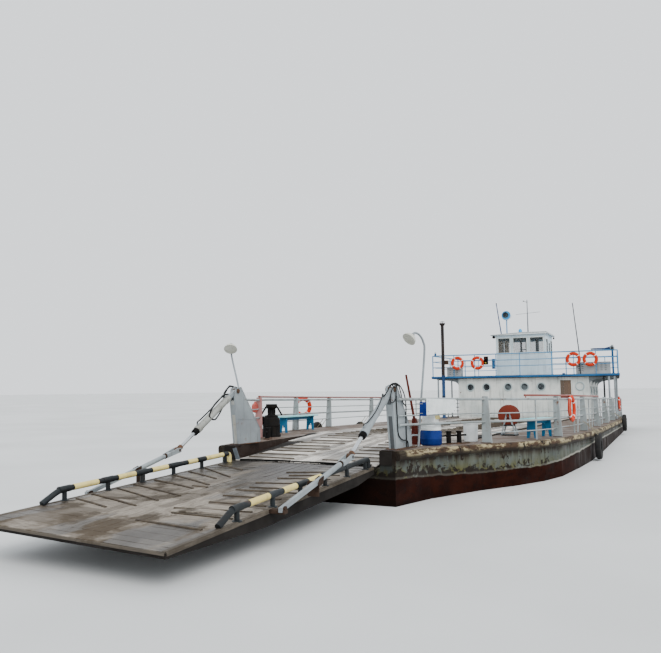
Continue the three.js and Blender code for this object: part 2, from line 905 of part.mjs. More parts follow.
// Lockers on the bridge deck: name, y from, y to, height
const BRIDGE_LOCKERS = [
  ["bridge_locker_port", 2890, 4560, 620],
  ["bridge_locker_starboard", -4150, -3330, 500],
];

function bridgeThings() {
  for (const [name, y0, y1, high] of BRIDGE_LOCKERS) {
    const body = box(-24860, -24420, y0, y1, BRIDGE_TOP + SEAT, BRIDGE_TOP + high - 30);
    const lid = box(
      -24880,
      -24400,
      y0 - 20,
      y1 + 20,
      BRIDGE_TOP + high - 30,
      BRIDGE_TOP + high,
    );
    piece(name, join([body, lid]), look.white);
  }
  const pipe = turned(
    [
      [0, SEAT],
      [180, SEAT],
      [180, 40],
      [92, 60],
      [92, 5270],
      [165, 5350],
      [165, 5540],
      [140, 5540],
      [140, 5370],
      [0, 5320],
    ],
    12,
  );
  piece("exhaust_pipe", solid(pipe.translate(-24030, -4250, 0)), look.rust);
}

// Wheelhouse windows in the front: y from, y to
const FRONT_WINDOWS = [
  [-1220, -560],
  [-380, 350],
  [530, 1240],
];
const WHEEL = { x: CABIN_FRONT - 640, y: 85, z: 3540, radius: 290 };
const CABIN_DOOR = { x0: -26300, x1: -25650, z0: BRIDGE_TOP + 80, z1: 4300 };

function wheelhouse() {
  const floor = BRIDGE_TOP + SEAT;
  const outer = box(
    CABIN_AFT,
    CABIN_FRONT,
    -CABIN_HALF,
    CABIN_HALF,
    floor,
    CABIN_TOP - SEAT,
  );
  const inner = box(
    CABIN_AFT + WALL,
    CABIN_FRONT - WALL,
    -CABIN_HALF + WALL,
    CABIN_HALF - WALL,
    floor - 10,
    CABIN_TOP + 10,
  );
  const front = FRONT_WINDOWS.map(([y0, y1]) =>
    box(CABIN_FRONT - 100, CABIN_FRONT + 100, y0, y1, 3620, 4440),
  );
  const sides = [
    [-25450, -24850],
    [-26900, -26450],
  ].map(([x0, x1]) => box(x0, x1, -2000, 2000, 3620, 4350));
  const aft = [-1150, 100].map((y) =>
    box(CABIN_AFT - 100, CABIN_AFT + 100, y, y + 1000, 3620, 4400),
  );
  const doors = box(
    CABIN_DOOR.x0,
    CABIN_DOOR.x1,
    -2000,
    2000,
    CABIN_DOOR.z0,
    CABIN_DOOR.z1,
  );
  const walls = cut(outer, [inner, ...front, ...sides, ...aft, doors]);
  const frames = SIDES_OF_SHIP.flatMap(({ s }) => doorFrame(CABIN_DOOR, CABIN_HALF, s));
  piece("wheelhouse_walls", join([walls, ...frames]), look.white);

  for (const { side, s } of SIDES_OF_SHIP) {
    const light = box(CABIN_DOOR.x0 + 110, CABIN_DOOR.x1 - 110, -2000, 2000, 3620, 4180);
    const leaf = doorLeaf(CABIN_DOOR, CABIN_HALF, s, light);
    piece("wheelhouse_door_" + side, leaf, look.white);
  }

  const roof = frontProfile(
    [
      [-CABIN_HALF - ROOF_OVER.starboard, CABIN_TOP],
      [CABIN_HALF + ROOF_OVER.port, CABIN_TOP],
      [CABIN_HALF + ROOF_OVER.port, CABIN_TOP + ROOF_THICK.port],
      [0, CABIN_TOP + ROOF_THICK.middle],
      [-CABIN_HALF - ROOF_OVER.starboard, CABIN_TOP + ROOF_THICK.starboard],
    ],
    CABIN_AFT - ROOF_OVER.front,
    CABIN_FRONT + ROOF_OVER.front,
  );
  piece("wheelhouse_roof", roof, look.white);

  const desk = sideProfile(
    [
      [CABIN_FRONT - 70, floor],
      [CABIN_FRONT - 70, 3420],
      [CABIN_FRONT - 480, 3280],
      [CABIN_FRONT - 480, floor],
    ],
    -600,
    900,
  );
  const { x: wx, y: wy, z: wz } = WHEEL;
  const wheel = ring(at(wx, wy, wz), X_AXIS, WHEEL.radius, 20);
  const hub = rod(at(CABIN_FRONT - 470, wy, wz), at(wx - 30, wy, wz), 40, 8);
  const column = box(CABIN_FRONT - 560, CABIN_FRONT - 400, wy - 90, wy + 90, 3200, wz + 60);
  const spokes = [0, 1, 2].map((i) => {
    const turn = (Math.PI * i) / 3;
    const dy = WHEEL.radius * Math.cos(turn);
    const dz = WHEEL.radius * Math.sin(turn);
    return rod(at(wx, wy - dy, wz - dz), at(wx, wy + dy, wz + dz), 14, 6);
  });
  piece("helm_console", join([desk, column, wheel, hub, ...spokes]), look.dark);
}

// The crowned roof's height at any distance to port or starboard.
function roofTop(y) {
  const side = y > 0 ? "port" : "starboard";
  const out = Math.abs(y) / (CABIN_HALF + ROOF_OVER[side]);
  return CABIN_TOP + ROOF_THICK.middle + (ROOF_THICK[side] - ROOF_THICK.middle) * out;
}

const MAST = { x: -25300, y: 330 };
const SEARCHLIGHT = { x: -24900, y: -755, z: 5755, radius: 260 };

function roofThings() {
  const { x: mastX, y: mastY } = MAST;
  const foot = roofTop(mastY - 90) + SEAT;
  const mast = [
    rod(at(mastX, mastY, foot + 10), at(mastX, mastY, 6650), 34, 8, 16),
    rod(at(mastX, mastY - 640, 5830), at(mastX, mastY + 680, 5900), 16, 4),
    rod(at(mastX, mastY, foot), at(mastX, mastY, foot + 40), 90, 8),
  ];
  piece("mast", join(mast), look.grey);
  const { x, y, z, radius } = SEARCHLIGHT;
  const lamp = turned(
    [
      [0, -130],
      [130, -130],
      [radius - 10, 30],
      [radius, 120],
      [0, 120],
    ],
    12,
  );
  lamp.applyQuaternion(new THREE.Quaternion().setFromUnitVectors(Z_AXIS, X_AXIS));
  const stand = roofTop(y + 28) + SEAT;
  const post = rod(at(x, y, stand), at(x, y, z - radius + 60), 28, 6);
  piece("searchlight", join([post, solid(lamp.translate(x, y, z))]), look.blue);
}

// Life rings: along the bridge's front rail as y and z, and on the side rails
const RING_FLAT = 0.7;
const RING_HALF_THICK = RING_TUBE * RING_FLAT * RING_FLANK;
const FRONT_RINGS = [
  [-3470, 3100],
  [-2320, 3080],
  [2800, 3140],
  [3640, 3120],
];
// On the side rails: x, z, side, rail's inset, radius, turn aft, radius of the pipe it touches
const SIDE_RINGS = [
  [-8600, 770, 1, RAIL_INSET.port, 330, 0, RAIL_RADIUS],
  [-25300, 800, 1, RAIL_INSET.stern, RING_RADIUS, 0, RAIL_RADIUS],
  [-8750, 800, -1, RAIL_INSET.starboard, RING_RADIUS, 33.4, SIDE_RAILS.starboard[1][1]],
];

function lifeRings() {
  const frontX = BRIDGE_FRONT - 70 + BRIDGE_POST + RING_HALF_THICK + SEAT;
  const front = FRONT_RINGS.map(([y, z]) => [at(frontX, y, z), X_AXIS, RING_RADIUS]);
  const side = SIDE_RINGS.map(([x, z, s, inset, radius, degrees, pipe]) => {
    const out = outwards(x, s);
    const turn = THREE.MathUtils.degToRad(degrees);
    const rim = (radius + RING_TUBE / 2) * Math.sin(turn) + RING_HALF_THICK * Math.cos(turn);
    const middle = at(x, s * (deckHalf(x) - inset), z);
    middle.addScaledVector(out, pipe + rim + SEAT);
    return [middle, out.applyAxisAngle(Z_AXIS, s * turn), radius];
  });
  [...front, ...side].forEach(([middle, axis, radius], i) => {
    const body = ring(middle, axis, radius, RING_TUBE, RING_FLAT);
    piece("life_ring_" + (i + 1), body, look.orange);
  });
}

// Tyres hung outside the belt: name, x, side, height of the middle
const TYRES = [
  ["tyre_port_1", -10900, 1, -500],
  ["tyre_port_2", -24000, 1, -150],
  ["tyre_starboard_1", -10250, -1, -210],
  ["tyre_starboard_2", -14450, -1, -330],
];
const TYRE_RADIUS = 310;
const TYRE_TUBE = 110;

function tyres() {
  for (const [name, x, s, z] of TYRES) {
    const out = outwards(x, s);
    const middle = at(x, s * (deckHalf(x) + BELT_THICK), z);
    middle.addScaledVector(out, TYRE_TUBE * RING_FLANK + SEAT);
    piece(name, ring(middle, out, TYRE_RADIUS, TYRE_TUBE), look.rubber);
  }
}

// Ramp: x of the kerb's posts from the hinge
const KERB_POSTS = [230, 385, 1232, 2135, 3026, 3895, 4850];
const KERB_Y = 1720;
const ARM_FOOT = { x: 4150, z: 45 }; // where a lifting arm ends, in the ramp's frame

// A piece of the ramp, bent down to port along its length.
const sagged = (body) =>
  body.warp((v) => {
    const along = Math.max(0, v[0] - RAMP_START) / (RAMP_LENGTH - RAMP_START);
    v[2] -= (RAMP_SAG * along * (v[1] + RAMP_HALF)) / (2 * RAMP_HALF);
  });

function ramp() {
  const group = new THREE.Group();
  group.position.set(0, 0, HINGE_Z);
  group.rotation.y = RAMP_SLOPE;
  ferry.add(group);

  const deck = box(
    RAMP_START,
    RAMP_LENGTH,
    -RAMP_HALF,
    RAMP_HALF,
    RAMP_TOP - 70,
    RAMP_TOP,
  );
  const girders = [-RAMP_HALF, -600, 560, RAMP_HALF - 40].map((y) =>
    sideProfile(
      [
        [RAMP_START, RAMP_TOP - 60],
        [RAMP_START, -40],
        [900, -130],
        [4200, -130],
        [RAMP_LENGTH, RAMP_TOP - 70],
        [RAMP_LENGTH, RAMP_TOP - 60],
      ],
      y,
      y + 40,
    ),
  );
  const knuckles = RAMP_KNUCKLES.flatMap(([y0, y1]) => [
    rod(at(0, y0, 0), at(0, y1, 0), KNUCKLE_RADIUS, 12),
    box(0, 90, y0, y1, -30, 40),
  ]);
  const pinHole = rod(at(0, -1700, 0), at(0, 1700, 0), PIN_HOLE, 12);
  const rampBody = cut(join([deck, ...girders, ...knuckles]), [pinHole]);
  piece("ramp_deck", sagged(rampBody.refineToLength(900)), look.planks, group);

  for (const { side, s } of SIDES_OF_SHIP) {
    const y = s * KERB_Y;
    const high = RAMP_TOP + 200;
    const posts = KERB_POSTS.map((x) =>
      rod(at(x, y, RAMP_TOP + SEAT), at(x, y, high), 40, 8),
    );
    const rail = [
      rod(at(230, y, high), at(4950, y, high), 55, 8),
      rod(at(4950, y, high), at(5300, y, RAMP_TOP + 62), 50, 8),
    ];
    piece("ramp_kerb_" + side, sagged(join([...posts, ...rail])), look.kerb, group);
  }

  // Lifting arms, straight from the rod's eye down to the ramp's side, in the ramp's frame
  const slope = (p) => ({
    x: p.x * Math.cos(RAMP_SLOPE) - (p.z - HINGE_Z) * Math.sin(RAMP_SLOPE),
    z: p.x * Math.sin(RAMP_SLOPE) + (p.z - HINGE_Z) * Math.cos(RAMP_SLOPE),
  });
  const eye = slope(LIFT_EYE);
  for (const { side, s } of SIDES_OF_SHIP) {
    const y = s * LIFT_Y;
    const inner = s * (RAMP_HALF + SEAT);
    const fall = (eye.z - ARM_FOOT.z) / (ARM_FOOT.x - eye.x);
    const height = (x) => eye.z - fall * (x - eye.x);
    const across = (x0, x1, z0, z1) =>
      box(x0, x1, Math.min(inner, y), Math.max(inner, y), z0, z1);
    const cheeks = [-1, 1].map((k) =>
      sideProfile(
        [
          [eye.x - 60, eye.z - 70],
          [eye.x - 60, eye.z + 60],
          [eye.x + 50, eye.z + 60],
          [2500, height(2500) + 45],
          [2500, height(2500) - 45],
          [eye.x + 60, eye.z - 85],
        ],
        y + k * 60 - 15,
        y + k * 60 + 15,
      ),
    );
    const arm = [
      bar(at(2000, y, height(2000)), at(ARM_FOOT.x, y, ARM_FOOT.z), 110, 100),
      across(2780, 2810, -60, height(2800) + 30),
      across(3040, 3070, -60, height(3050) + 30),
      across(ARM_FOOT.x - 230, ARM_FOOT.x + 10, -70, ARM_FOOT.z + 50),
      box(ARM_FOOT.x - 230, ARM_FOOT.x + 10, y - 75, y + 75, -70, ARM_FOOT.z + 60),
    ];
    piece("ramp_arm_" + side, join([...cheeks, ...arm]), look.grey, group);
  }
}

// Lifting cylinders, from the pylon's pin to the ramp's eye
function lifts() {
  const dx = LIFT_EYE.x - LIFT_PIN.x;
  const dz = LIFT_EYE.z - LIFT_PIN.z;
  const reach = Math.hypot(dx, dz);
  const BARREL_START = 300;
  const BARREL_END = 1780;
  for (const { side, s } of SIDES_OF_SHIP) {
    const group = new THREE.Group();
    group.position.set(LIFT_PIN.x, s * LIFT_Y, LIFT_PIN.z);
    group.rotation.y = -Math.atan2(dz, dx);
    ferry.add(group);
    const tube = turned(
      [
        [0, BARREL_START],
        [BARREL_RADIUS, BARREL_START],
        [BARREL_RADIUS, BARREL_END - 80],
        [BARREL_RADIUS + 14, BARREL_END - 70],
        [BARREL_RADIUS + 14, BARREL_END],
        [0, BARREL_END],
      ],
      12,
    );
    tube.applyQuaternion(new THREE.Quaternion().setFromUnitVectors(Z_AXIS, X_AXIS));
    const bore = rod(
      at(BARREL_START + 120, 0, 0),
      at(BARREL_END + 50, 0, 0),
      ROD_RADIUS + SEAT,
      ROD_SIDES,
    );
    const tongue = box(0, BARREL_START + 10, -35, 35, -55, 55);
    const knob = rod(at(0, SEAT - 45, 0), at(0, 45 - SEAT, 0), 60, 12);
    const hole = rod(at(0, -100, 0), at(0, 100, 0), PIN_HOLE, 12);
    const barrel = cut(join([solid(tube), tongue, knob]), [bore, hole]);
    piece("lift_barrel_" + side, barrel, look.grey, group);
    const stem = rod(
      at(BARREL_START + 700, 0, 0),
      at(reach - 40, 0, 0),
      ROD_RADIUS,
      ROD_SIDES,
    );
    const eye = rod(at(reach, SEAT - 45, 0), at(reach, 45 - SEAT, 0), 62, 12);
    piece("lift_rod_" + side, join([stem, eye]), look.chrome, group);
  }
}

// Screws and rudders under the stern
const SCREW = { x: -29000, y: 2100, z: -1480, radius: 360 };
const BLADES = 4;

function sternGear() {
  for (const { side, s } of SIDES_OF_SHIP) {
    const y = s * SCREW.y;
    const hub = turned(
      [
        [0, -150],
        [60, -150],
        [85, 0],
        [85, 150],
        [60, 330 - SEAT],
        [0, 330 - SEAT],
      ],
      12,
    );
    hub.applyQuaternion(new THREE.Quaternion().setFromUnitVectors(Z_AXIS, X_AXIS));
    const blades = Array.from({ length: BLADES }, (_, i) => {
      const blade = new THREE.ExtrudeGeometry(
        outline([
          [-70, 50],
          [-150, 220],
          [-90, 340],
          [20, 360],
          [130, 300],
          [140, 160],
          [60, 50],
        ]),
        { depth: 18, bevelEnabled: false },
      );
      blade.translate(0, 0, -9);
      blade.rotateY(s * 0.5);
      blade.rotateZ((2 * Math.PI * i) / BLADES);
      blade.rotateY(Math.PI / 2);
      return solid(blade);
    });
    const body = join([solid(hub), ...blades]).translate([SCREW.x, y, SCREW.z]);
    piece("propeller_" + side, body, look.bronze);

    const rudderX = -29950;
    const blade = planProfile(
      [
        [rudderX + 180, y],
        [rudderX + 120, y - 45],
        [rudderX - 420, y - 8],
        [rudderX - 420, y + 8],
        [rudderX + 120, y + 45],
      ],
      -1900,
      -1060,
    );
    const stockTop = bottomAt(rudderX + 40) - SEAT;
    const stock = rod(at(rudderX, y, -1100), at(rudderX, y, stockTop), 40, 10);
    piece("rudder_" + side, join([blade, stock]), look.rust);
  }
}

hull();
rubbingBelt();
deckPlanking();
pylons();
sideRails();
sternRail();
capstan();
benches();
deckThings();
reel();
deckhouse();
houseDoors();
bridgeDeck();
davitBoom();
bridgeRail();
bridgeThings();
wheelhouse();
roofThings();
lifeRings();
tyres();
ramp();
lifts();
sternGear();

// The origin goes to the middle of the bottom of the whole ferry's box.
ferry.updateMatrixWorld(true);
const extent = new THREE.Box3().setFromObject(ferry);
const middle = extent.getCenter(new THREE.Vector3());
ferry.position.set(-middle.x, -middle.y, -extent.min.z);
ferry.updateMatrixWorld(true);

export default ferry;
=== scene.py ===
"""Looks of a river ferry with a hinged bow ramp, in metres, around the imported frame.

Places are given in the ship's own frame: x forward from the ramp's hinge, y to port and
z up from the steel deck. ship(), ramp() and lift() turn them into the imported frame.
"""

import math
import random

import bmesh
import bpy
from mathutils import Matrix, Vector


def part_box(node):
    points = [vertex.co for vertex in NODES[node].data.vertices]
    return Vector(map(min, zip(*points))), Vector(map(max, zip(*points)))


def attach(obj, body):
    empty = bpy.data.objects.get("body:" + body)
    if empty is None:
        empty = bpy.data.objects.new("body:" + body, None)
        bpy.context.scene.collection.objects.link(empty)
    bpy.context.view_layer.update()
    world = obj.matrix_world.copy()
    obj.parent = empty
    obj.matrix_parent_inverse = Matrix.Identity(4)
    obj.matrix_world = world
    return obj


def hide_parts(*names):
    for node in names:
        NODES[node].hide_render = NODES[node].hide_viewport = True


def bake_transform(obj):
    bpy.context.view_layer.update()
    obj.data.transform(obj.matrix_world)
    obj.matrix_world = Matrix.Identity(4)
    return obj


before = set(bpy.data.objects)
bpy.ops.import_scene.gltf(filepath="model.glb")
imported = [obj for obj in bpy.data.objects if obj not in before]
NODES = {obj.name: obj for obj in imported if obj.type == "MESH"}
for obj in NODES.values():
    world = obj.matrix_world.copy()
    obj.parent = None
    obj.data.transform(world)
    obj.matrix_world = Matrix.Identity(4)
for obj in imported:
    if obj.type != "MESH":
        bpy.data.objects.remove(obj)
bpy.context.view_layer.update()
DICE = random.Random(11)

# Driving dimensions
KNUCKLE_RADIUS = 0.058
BELT_THICK = 0.12
BELT_HIGH = 0.2
HINGE_Z = -0.42
RAMP_SLOPE = math.radians(3.05)
RAMP_TOP = 0.09
RAMP_LENGTH = 6.43
RAMP_HALF = 1.78
RAMP_START = 0.075
RAMP_SAG = 0.1
KERB_Y = 1.72
LIFT_Y = 2.0
LIFT_PIN = (-0.35, 1.27)
LIFT_EYE = (1.70, 0.02)
LANE_DEEP = -0.326
LANE_END = -5.2
DECK_PLANKS = 0.0403
RAIL_INSET = {1: 0.25, -1: 0.15}
STERN_INSET = 0.15
HOUSE_FRONT = -24.45
HOUSE_AFT = -29.3
HOUSE_HALF = 3.5
BRIDGE_TOP = 2.36
BRIDGE_UNDER = 2.22
BRIDGE_FRONT = -24.24
BRIDGE_AFT = -29.9
BRIDGE_FRONT_HALF = 5.03
BRIDGE_AFT_HALF = 4.65
CABIN_FRONT = -24.64
CABIN_AFT = -27.08
CABIN_HALF = 1.34
CABIN_TOP = 4.62
ROOF_OVER = {"front": 0.12, "port": 0.12, "starboard": 0.27}
ROOF_THICK = {"port": 0.11, "middle": 0.12, "starboard": 0.04}
STERN_X = -31.0
PORT_AND_STARBOARD = (("port", 1), ("starboard", -1))

HULL_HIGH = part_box("hull")[1]
ORIGIN = Vector((HULL_HIGH.x - KNUCKLE_RADIUS, 0, HULL_HIGH.z))
UP = Vector((0, 0, 1))
LEVEL = (Vector((1, 0, 0)), Vector((0, 1, 0)))


def ship(x, y, z):
    """A place in the ship's own frame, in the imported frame."""
    return ORIGIN + Vector((x, y, z))


def spot(place):
    """A tuple is a place on the ship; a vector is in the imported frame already."""
    return ship(*place) if isinstance(place, tuple) else place


def spokes(across, side, count, start=0.0):
    """Unit directions all round a circle, from across towards side."""
    turns = [start + 2 * math.pi * k / count for k in range(count)]
    return [math.cos(turn) * across + math.sin(turn) * side for turn in turns]


def square_to(axis):
    """Two directions square to an axis and to each other."""
    across = axis.orthogonal().normalized()
    return across, axis.cross(across)


def level_ramp(along, y, up):
    """A place on the ramp as if it hadn't sagged, which holds for the lifting arms."""
    c, s = math.cos(RAMP_SLOPE), math.sin(RAMP_SLOPE)
    return ship(along * c + up * s, y, HINGE_Z - along * s + up * c)


def ramp(along, y, up):
    """A place on the ramp, from its hinge's middle. The ramp has sagged to port along its length."""
    share = max(0, along - RAMP_START) / (RAMP_LENGTH - RAMP_START)
    up -= RAMP_SAG * share * (y + RAMP_HALF) / (2 * RAMP_HALF)
    return level_ramp(along, y, up)


def lane_top(x):
    """Height of the planks' upper face, which dips to the hinge."""
    if x < LANE_END:
        return DECK_PLANKS
    return LANE_DEEP + (DECK_PLANKS - LANE_DEEP) * x / LANE_END


def lane_half(x):
    """Half the planked lane's width, narrower at the hinge."""
    return 1.74 + 0.88 * min(1, max(0, x / LANE_END))


LIFT_WAY = Vector((LIFT_EYE[0] - LIFT_PIN[0], 0, LIFT_EYE[1] - LIFT_PIN[1]))
LIFT_REACH = LIFT_WAY.length
LIFT_WAY.normalize()
LIFT_UP = Vector((-LIFT_WAY.z, 0, LIFT_WAY.x))


def lift(side, along, across, up):
    """A place on a lifting cylinder, from its upper pin."""
    pin = ship(LIFT_PIN[0], side * LIFT_Y, LIFT_PIN[1])
    return pin + along * LIFT_WAY + Vector((0, across, 0)) + up * LIFT_UP


def deck_edge():
    """The deck's half-beam at each corner of its outline, bow to stern."""
    reach = {}
    for vertex in NODES["rubbing_belt"].data.vertices:
        x = round(vertex.co.x - ORIGIN.x, 3)
        reach[x] = max(reach.get(x, 0), abs(vertex.co.y))
    return [(x, reach[x] - BELT_THICK) for x in sorted(reach, reverse=True) if x >= STERN_X]


DECK_EDGE = deck_edge()


def deck_half(x):
    """The deck's half-beam at x."""
    for (x0, h0), (x1, h1) in zip(DECK_EDGE, DECK_EDGE[1:]):
        if x1 <= x:
            return h0 + (h1 - h0) * (x - x0) / (x1 - x0)
    return DECK_EDGE[-1][1]


def rail_line(start, end, inset):
    """Points that run inside the deck's edge from start aft to end."""
    between = [x for x, _ in DECK_EDGE if end < x < start]
    return [(x, deck_half(x) - inset) for x in (start, *between, end)]


def rail_y(x, s):
    """The side rail's distance off the centre line."""
    return deck_half(x) - RAIL_INSET[s]


def bridge_half(x):
    """The bridge deck's half-width, which narrows aft."""
    share = (x - BRIDGE_AFT) / (BRIDGE_FRONT - BRIDGE_AFT)
    return BRIDGE_AFT_HALF + (BRIDGE_FRONT_HALF - BRIDGE_AFT_HALF) * share


# ---- Camera and stage

CAMERA_PLACE = (12.8277, 7.2867, 1.0581)
CAMERA_YAW = math.radians(207.0)
CAMERA_PITCH = math.radians(6.3)
CAMERA_ROLL = math.radians(-0.23)
CAMERA_LENS = 36.13
WATER_AT_BOW = -1.08
WATER_RISE = 0.0157
FLOOR_REACH = 1500
SKY_STRENGTH = 1.7
SUN_STRENGTH = 2.6


def linked(name, data):
    """A new object in the scene."""
    made = bpy.data.objects.new(name, data)
    bpy.context.collection.objects.link(made)
    return made


def make_camera():
    """At the photograph's place and angle, with its field of view."""
    flat = math.cos(CAMERA_PITCH)
    ahead = Vector((math.cos(CAMERA_YAW) * flat, math.sin(CAMERA_YAW) * flat, math.sin(CAMERA_PITCH)))
    level = Vector((math.sin(CAMERA_YAW), -math.cos(CAMERA_YAW), 0))
    above = level.cross(ahead)
    c, s = math.cos(CAMERA_ROLL), math.sin(CAMERA_ROLL)
    right = c * level + s * above
    up = -s * level + c * above
    data = bpy.data.cameras.new("camera")
    data.lens = CAMERA_LENS
    data.sensor_width = 36
    data.sensor_fit = "HORIZONTAL"
    data.clip_end = 2 * FLOOR_REACH
    camera = linked("camera", data)
    turn = Matrix((right, up, -ahead)).transposed()
    camera.matrix_world = Matrix.Translation(ship(*CAMERA_PLACE)) @ turn.to_4x4()
    bpy.context.scene.camera = camera


def make_stage():
    """A pale floor at the waterline, and soft light from a pale sky."""
    surface = Surface("floor", roughness=0.8)
    tone = surface.noise(0.15, 3)
    surface.colour(surface.mix(surface.band(tone, 0.3, 0.7), "c4c6c6", "d0d2d2"))
    mesh = bpy.data.meshes.new("floor")
    far = FLOOR_REACH
    corners = ((-far, -far), (far, -far), (far, far), (-far, far))
    places = [ship(x, y, WATER_AT_BOW - WATER_RISE * (3 + x)) for x, y in corners]
    mesh.from_pydata(places, [], [(0, 1, 2, 3)])
    mesh.materials.append(surface.material)
    linked("floor", mesh)

    world = bpy.data.worlds.new("sky")
    bpy.context.scene.world = world
    world.use_nodes = True
    sky = world.node_tree.nodes["Background"]
    sky.inputs["Color"].default_value = hexed("e9edf1")
    sky.inputs["Strength"].default_value = SKY_STRENGTH
    sun = bpy.data.lights.new("soft_sun", "SUN")
    sun.energy = SUN_STRENGTH
    sun.angle = math.radians(40)
    sun.color = (1.0, 0.99, 0.97)
    linked("soft_sun", sun).rotation_euler = (math.radians(-34), math.radians(36), 0)


# ---- Materials


def hexed(code):
    """A display colour such as "8c958f" as linear red, green, blue and alpha."""
    parts = [int(code[i : i + 2], 16) / 255 for i in (0, 2, 4)]
    linear = [p / 12.92 if p <= 0.04045 else ((p + 0.055) / 1.055) ** 2.4 for p in parts]
    return (*linear, 1.0)


SHEEN = 0.2


class Level:
    """A number that varies over a surface. Sums and products of levels make Math nodes."""

    def __init__(self, surface, socket):
        self.surface = surface
        self.socket = socket

    def joined(self, operation, a, b):
        node = self.surface.node("Math", {0: a, 1: b}, operation=operation)
        return Level(self.surface, node.outputs[0])

    def __add__(self, other):
        return self.joined("ADD", self, other)

    def __sub__(self, other):
        return self.joined("SUBTRACT", self, other)

    def __rsub__(self, other):
        return self.joined("SUBTRACT", other, self)

    def __mul__(self, other):
        return self.joined("MULTIPLY", self, other)

    def or_more(self, other):
        return self.joined("MAXIMUM", self, other)

    __radd__ = __add__
    __rmul__ = __mul__


class Surface:
    """A procedural material, its nodes made by short calls."""

    def __init__(self, name, roughness=0.5, metallic=0.0, sheen=SHEEN, **sockets):
        self.material = bpy.data.materials.new(name)
        self.material.use_nodes = True
        self.tree = self.material.node_tree
        self.shader = self.tree.nodes["Principled BSDF"]
        self.shader.inputs["Roughness"].default_value = roughness
        self.shader.inputs["Metallic"].default_value = metallic
        self.shader.inputs["Specular IOR Level"].default_value = sheen
        for socket, value in sockets.items():
            self.shader.inputs[socket.replace("_", " ")].default_value = value
        self.place = self.tree.nodes.new("ShaderNodeTexCoord").outputs["Object"]

    def feed(self, socket, value):
        """Sets a socket to a number or colour code, or joins a level or socket to it."""
        if isinstance(value, Level):
            value = value.socket
        if isinstance(value, bpy.types.NodeSocket):
            self.tree.links.new(value, socket)
        else:
            socket.default_value = hexed(value) if isinstance(value, str) else value

    def node(self, kind, inputs, **settings):
        made = self.tree.nodes.new("ShaderNode" + kind)
        for setting, value in settings.items():
            setattr(made, setting, value)
        for socket, value in inputs.items():
            self.feed(made.inputs[socket], value)
        return made

    def uv(self, name):
        """Places from one of the mesh's own maps."""
        return self.node("UVMap", {}, uv_map=name).outputs["UV"]

    def noise(self, scale, detail=5, stretch=(1, 1, 1), place=None, rough=0.55, warp=0.0):
        """Cloudy levels, finer as scale and stretch grow."""
        place = self.node("Mapping", {"Scale": stretch, "Vector": place or self.place}).outputs["Vector"]
        inputs = {
            "Scale": scale, "Detail": detail, "Roughness": rough, "Distortion": warp, "Vector": place
        }
        return Level(self, self.node("TexNoise", inputs).outputs["Fac"])

    def band(self, value, low, high, bottom=0.0, top=1.0, kind="SMOOTHSTEP"):
        """Bottom below low and top above high, with a soft step between."""
        ends = {"From Min": low, "From Max": high, "To Min": bottom, "To Max": top, "Value": value}
        return Level(self, self.node("MapRange", ends, interpolation_type=kind).outputs["Result"])

    def mix(self, factor, a, b):
        """Colour a where factor is 0, and b where it is 1."""
        node = self.node("Mix", {}, data_type="RGBA")
        for socket, value in (("Factor", factor), (6, a), (7, b)):
            self.feed(node.inputs[socket], value)
        return node.outputs[2]

    def axes(self, place=None):
        outputs = self.node("SeparateXYZ", {0: place or self.place}).outputs
        return [Level(self, output) for output in outputs]

    def normal(self):
        return self.axes(self.node("NewGeometry", {}).outputs["Normal"])

    def curve(self, value, low, high, stops):
        """A level read from (place between low and high, level) stops."""
        share = self.band(value, low, high, kind="LINEAR")
        node = self.node("ValToRGB", {"Fac": share})
        elements = node.color_ramp.elements
        while len(elements) < len(stops):
            elements.new(0.5)
        for element, (where, level) in zip(elements, stops):
            element.position = (where - low) / (high - low)
            element.color = (level, level, level, 1)
        return Level(self, node.outputs["Color"])

    def colour(self, value):
        self.feed(self.shader.inputs["Base Color"], value)

    def roughness(self, value):
        self.feed(self.shader.inputs["Roughness"], value)

    def bump(self, height, strength=0.3, distance=0.01):
        node = self.node("Bump", {"Strength": strength, "Distance": distance, "Height": height})
        self.tree.links.new(node.outputs["Normal"], self.shader.inputs["Normal"])


RUST = hexed("452a1d")
RUST_PALE = hexed("6c4a34")
GRIME = hexed("4a463f")


def painted(name, base, worn, rust=0.5, streaks=0.4, roughness=0.5, scale=1.0):
    """Old paint: cloudy fading, dirt that ran down, rust in spots and under its edges."""
    s = Surface(name, roughness=roughness)
    cloud = s.noise(1.1 * scale, 4)
    colour = s.mix(s.band(cloud, 0.35, 0.7), base, worn)
    runs = s.noise(2.2 * scale, 5, stretch=(5, 5, 0.35))
    colour = s.mix(s.band(runs, 0.5, 0.78, 0.0, streaks), colour, GRIME)
    spots = s.noise(5.5 * scale, 9, rough=0.65)
    spotted = s.band(spots, 0.70 - 0.14 * rust, 0.76 - 0.12 * rust)
    rusty = s.mix(s.noise(18 * scale, 4), RUST, RUST_PALE)
    colour = s.mix(spotted, colour, rusty)
    halo = s.band(spots, 0.60 - 0.14 * rust, 0.72 - 0.14 * rust, 0.0, 0.35 * rust)
    colour = s.mix(halo, colour, RUST_PALE)
    s.colour(colour)
    s.roughness(s.band(spotted, 0.0, 1.0, roughness, 0.9))
    fine = s.noise(60 * scale, 3)
    s.bump(fine * 0.25 + spotted, 0.25, 0.004)
    return s.material


def plain(name, base, worn, roughness=0.5, metallic=0.0, scale=6.0, bump=0.15, sheen=SHEEN):
    """A cleaner finish with slight fading, smudges and grain."""
    s = Surface(name, roughness=roughness, metallic=metallic, sheen=sheen)
    cloud = s.noise(scale, 5)
    s.colour(s.mix(s.band(cloud, 0.35, 0.72), base, worn))
    s.roughness(s.band(cloud, 0.3, 0.7, roughness * 0.85, min(1.0, roughness * 1.25)))
    s.bump(s.noise(scale * 12, 3), bump, 0.003)
    return s.material


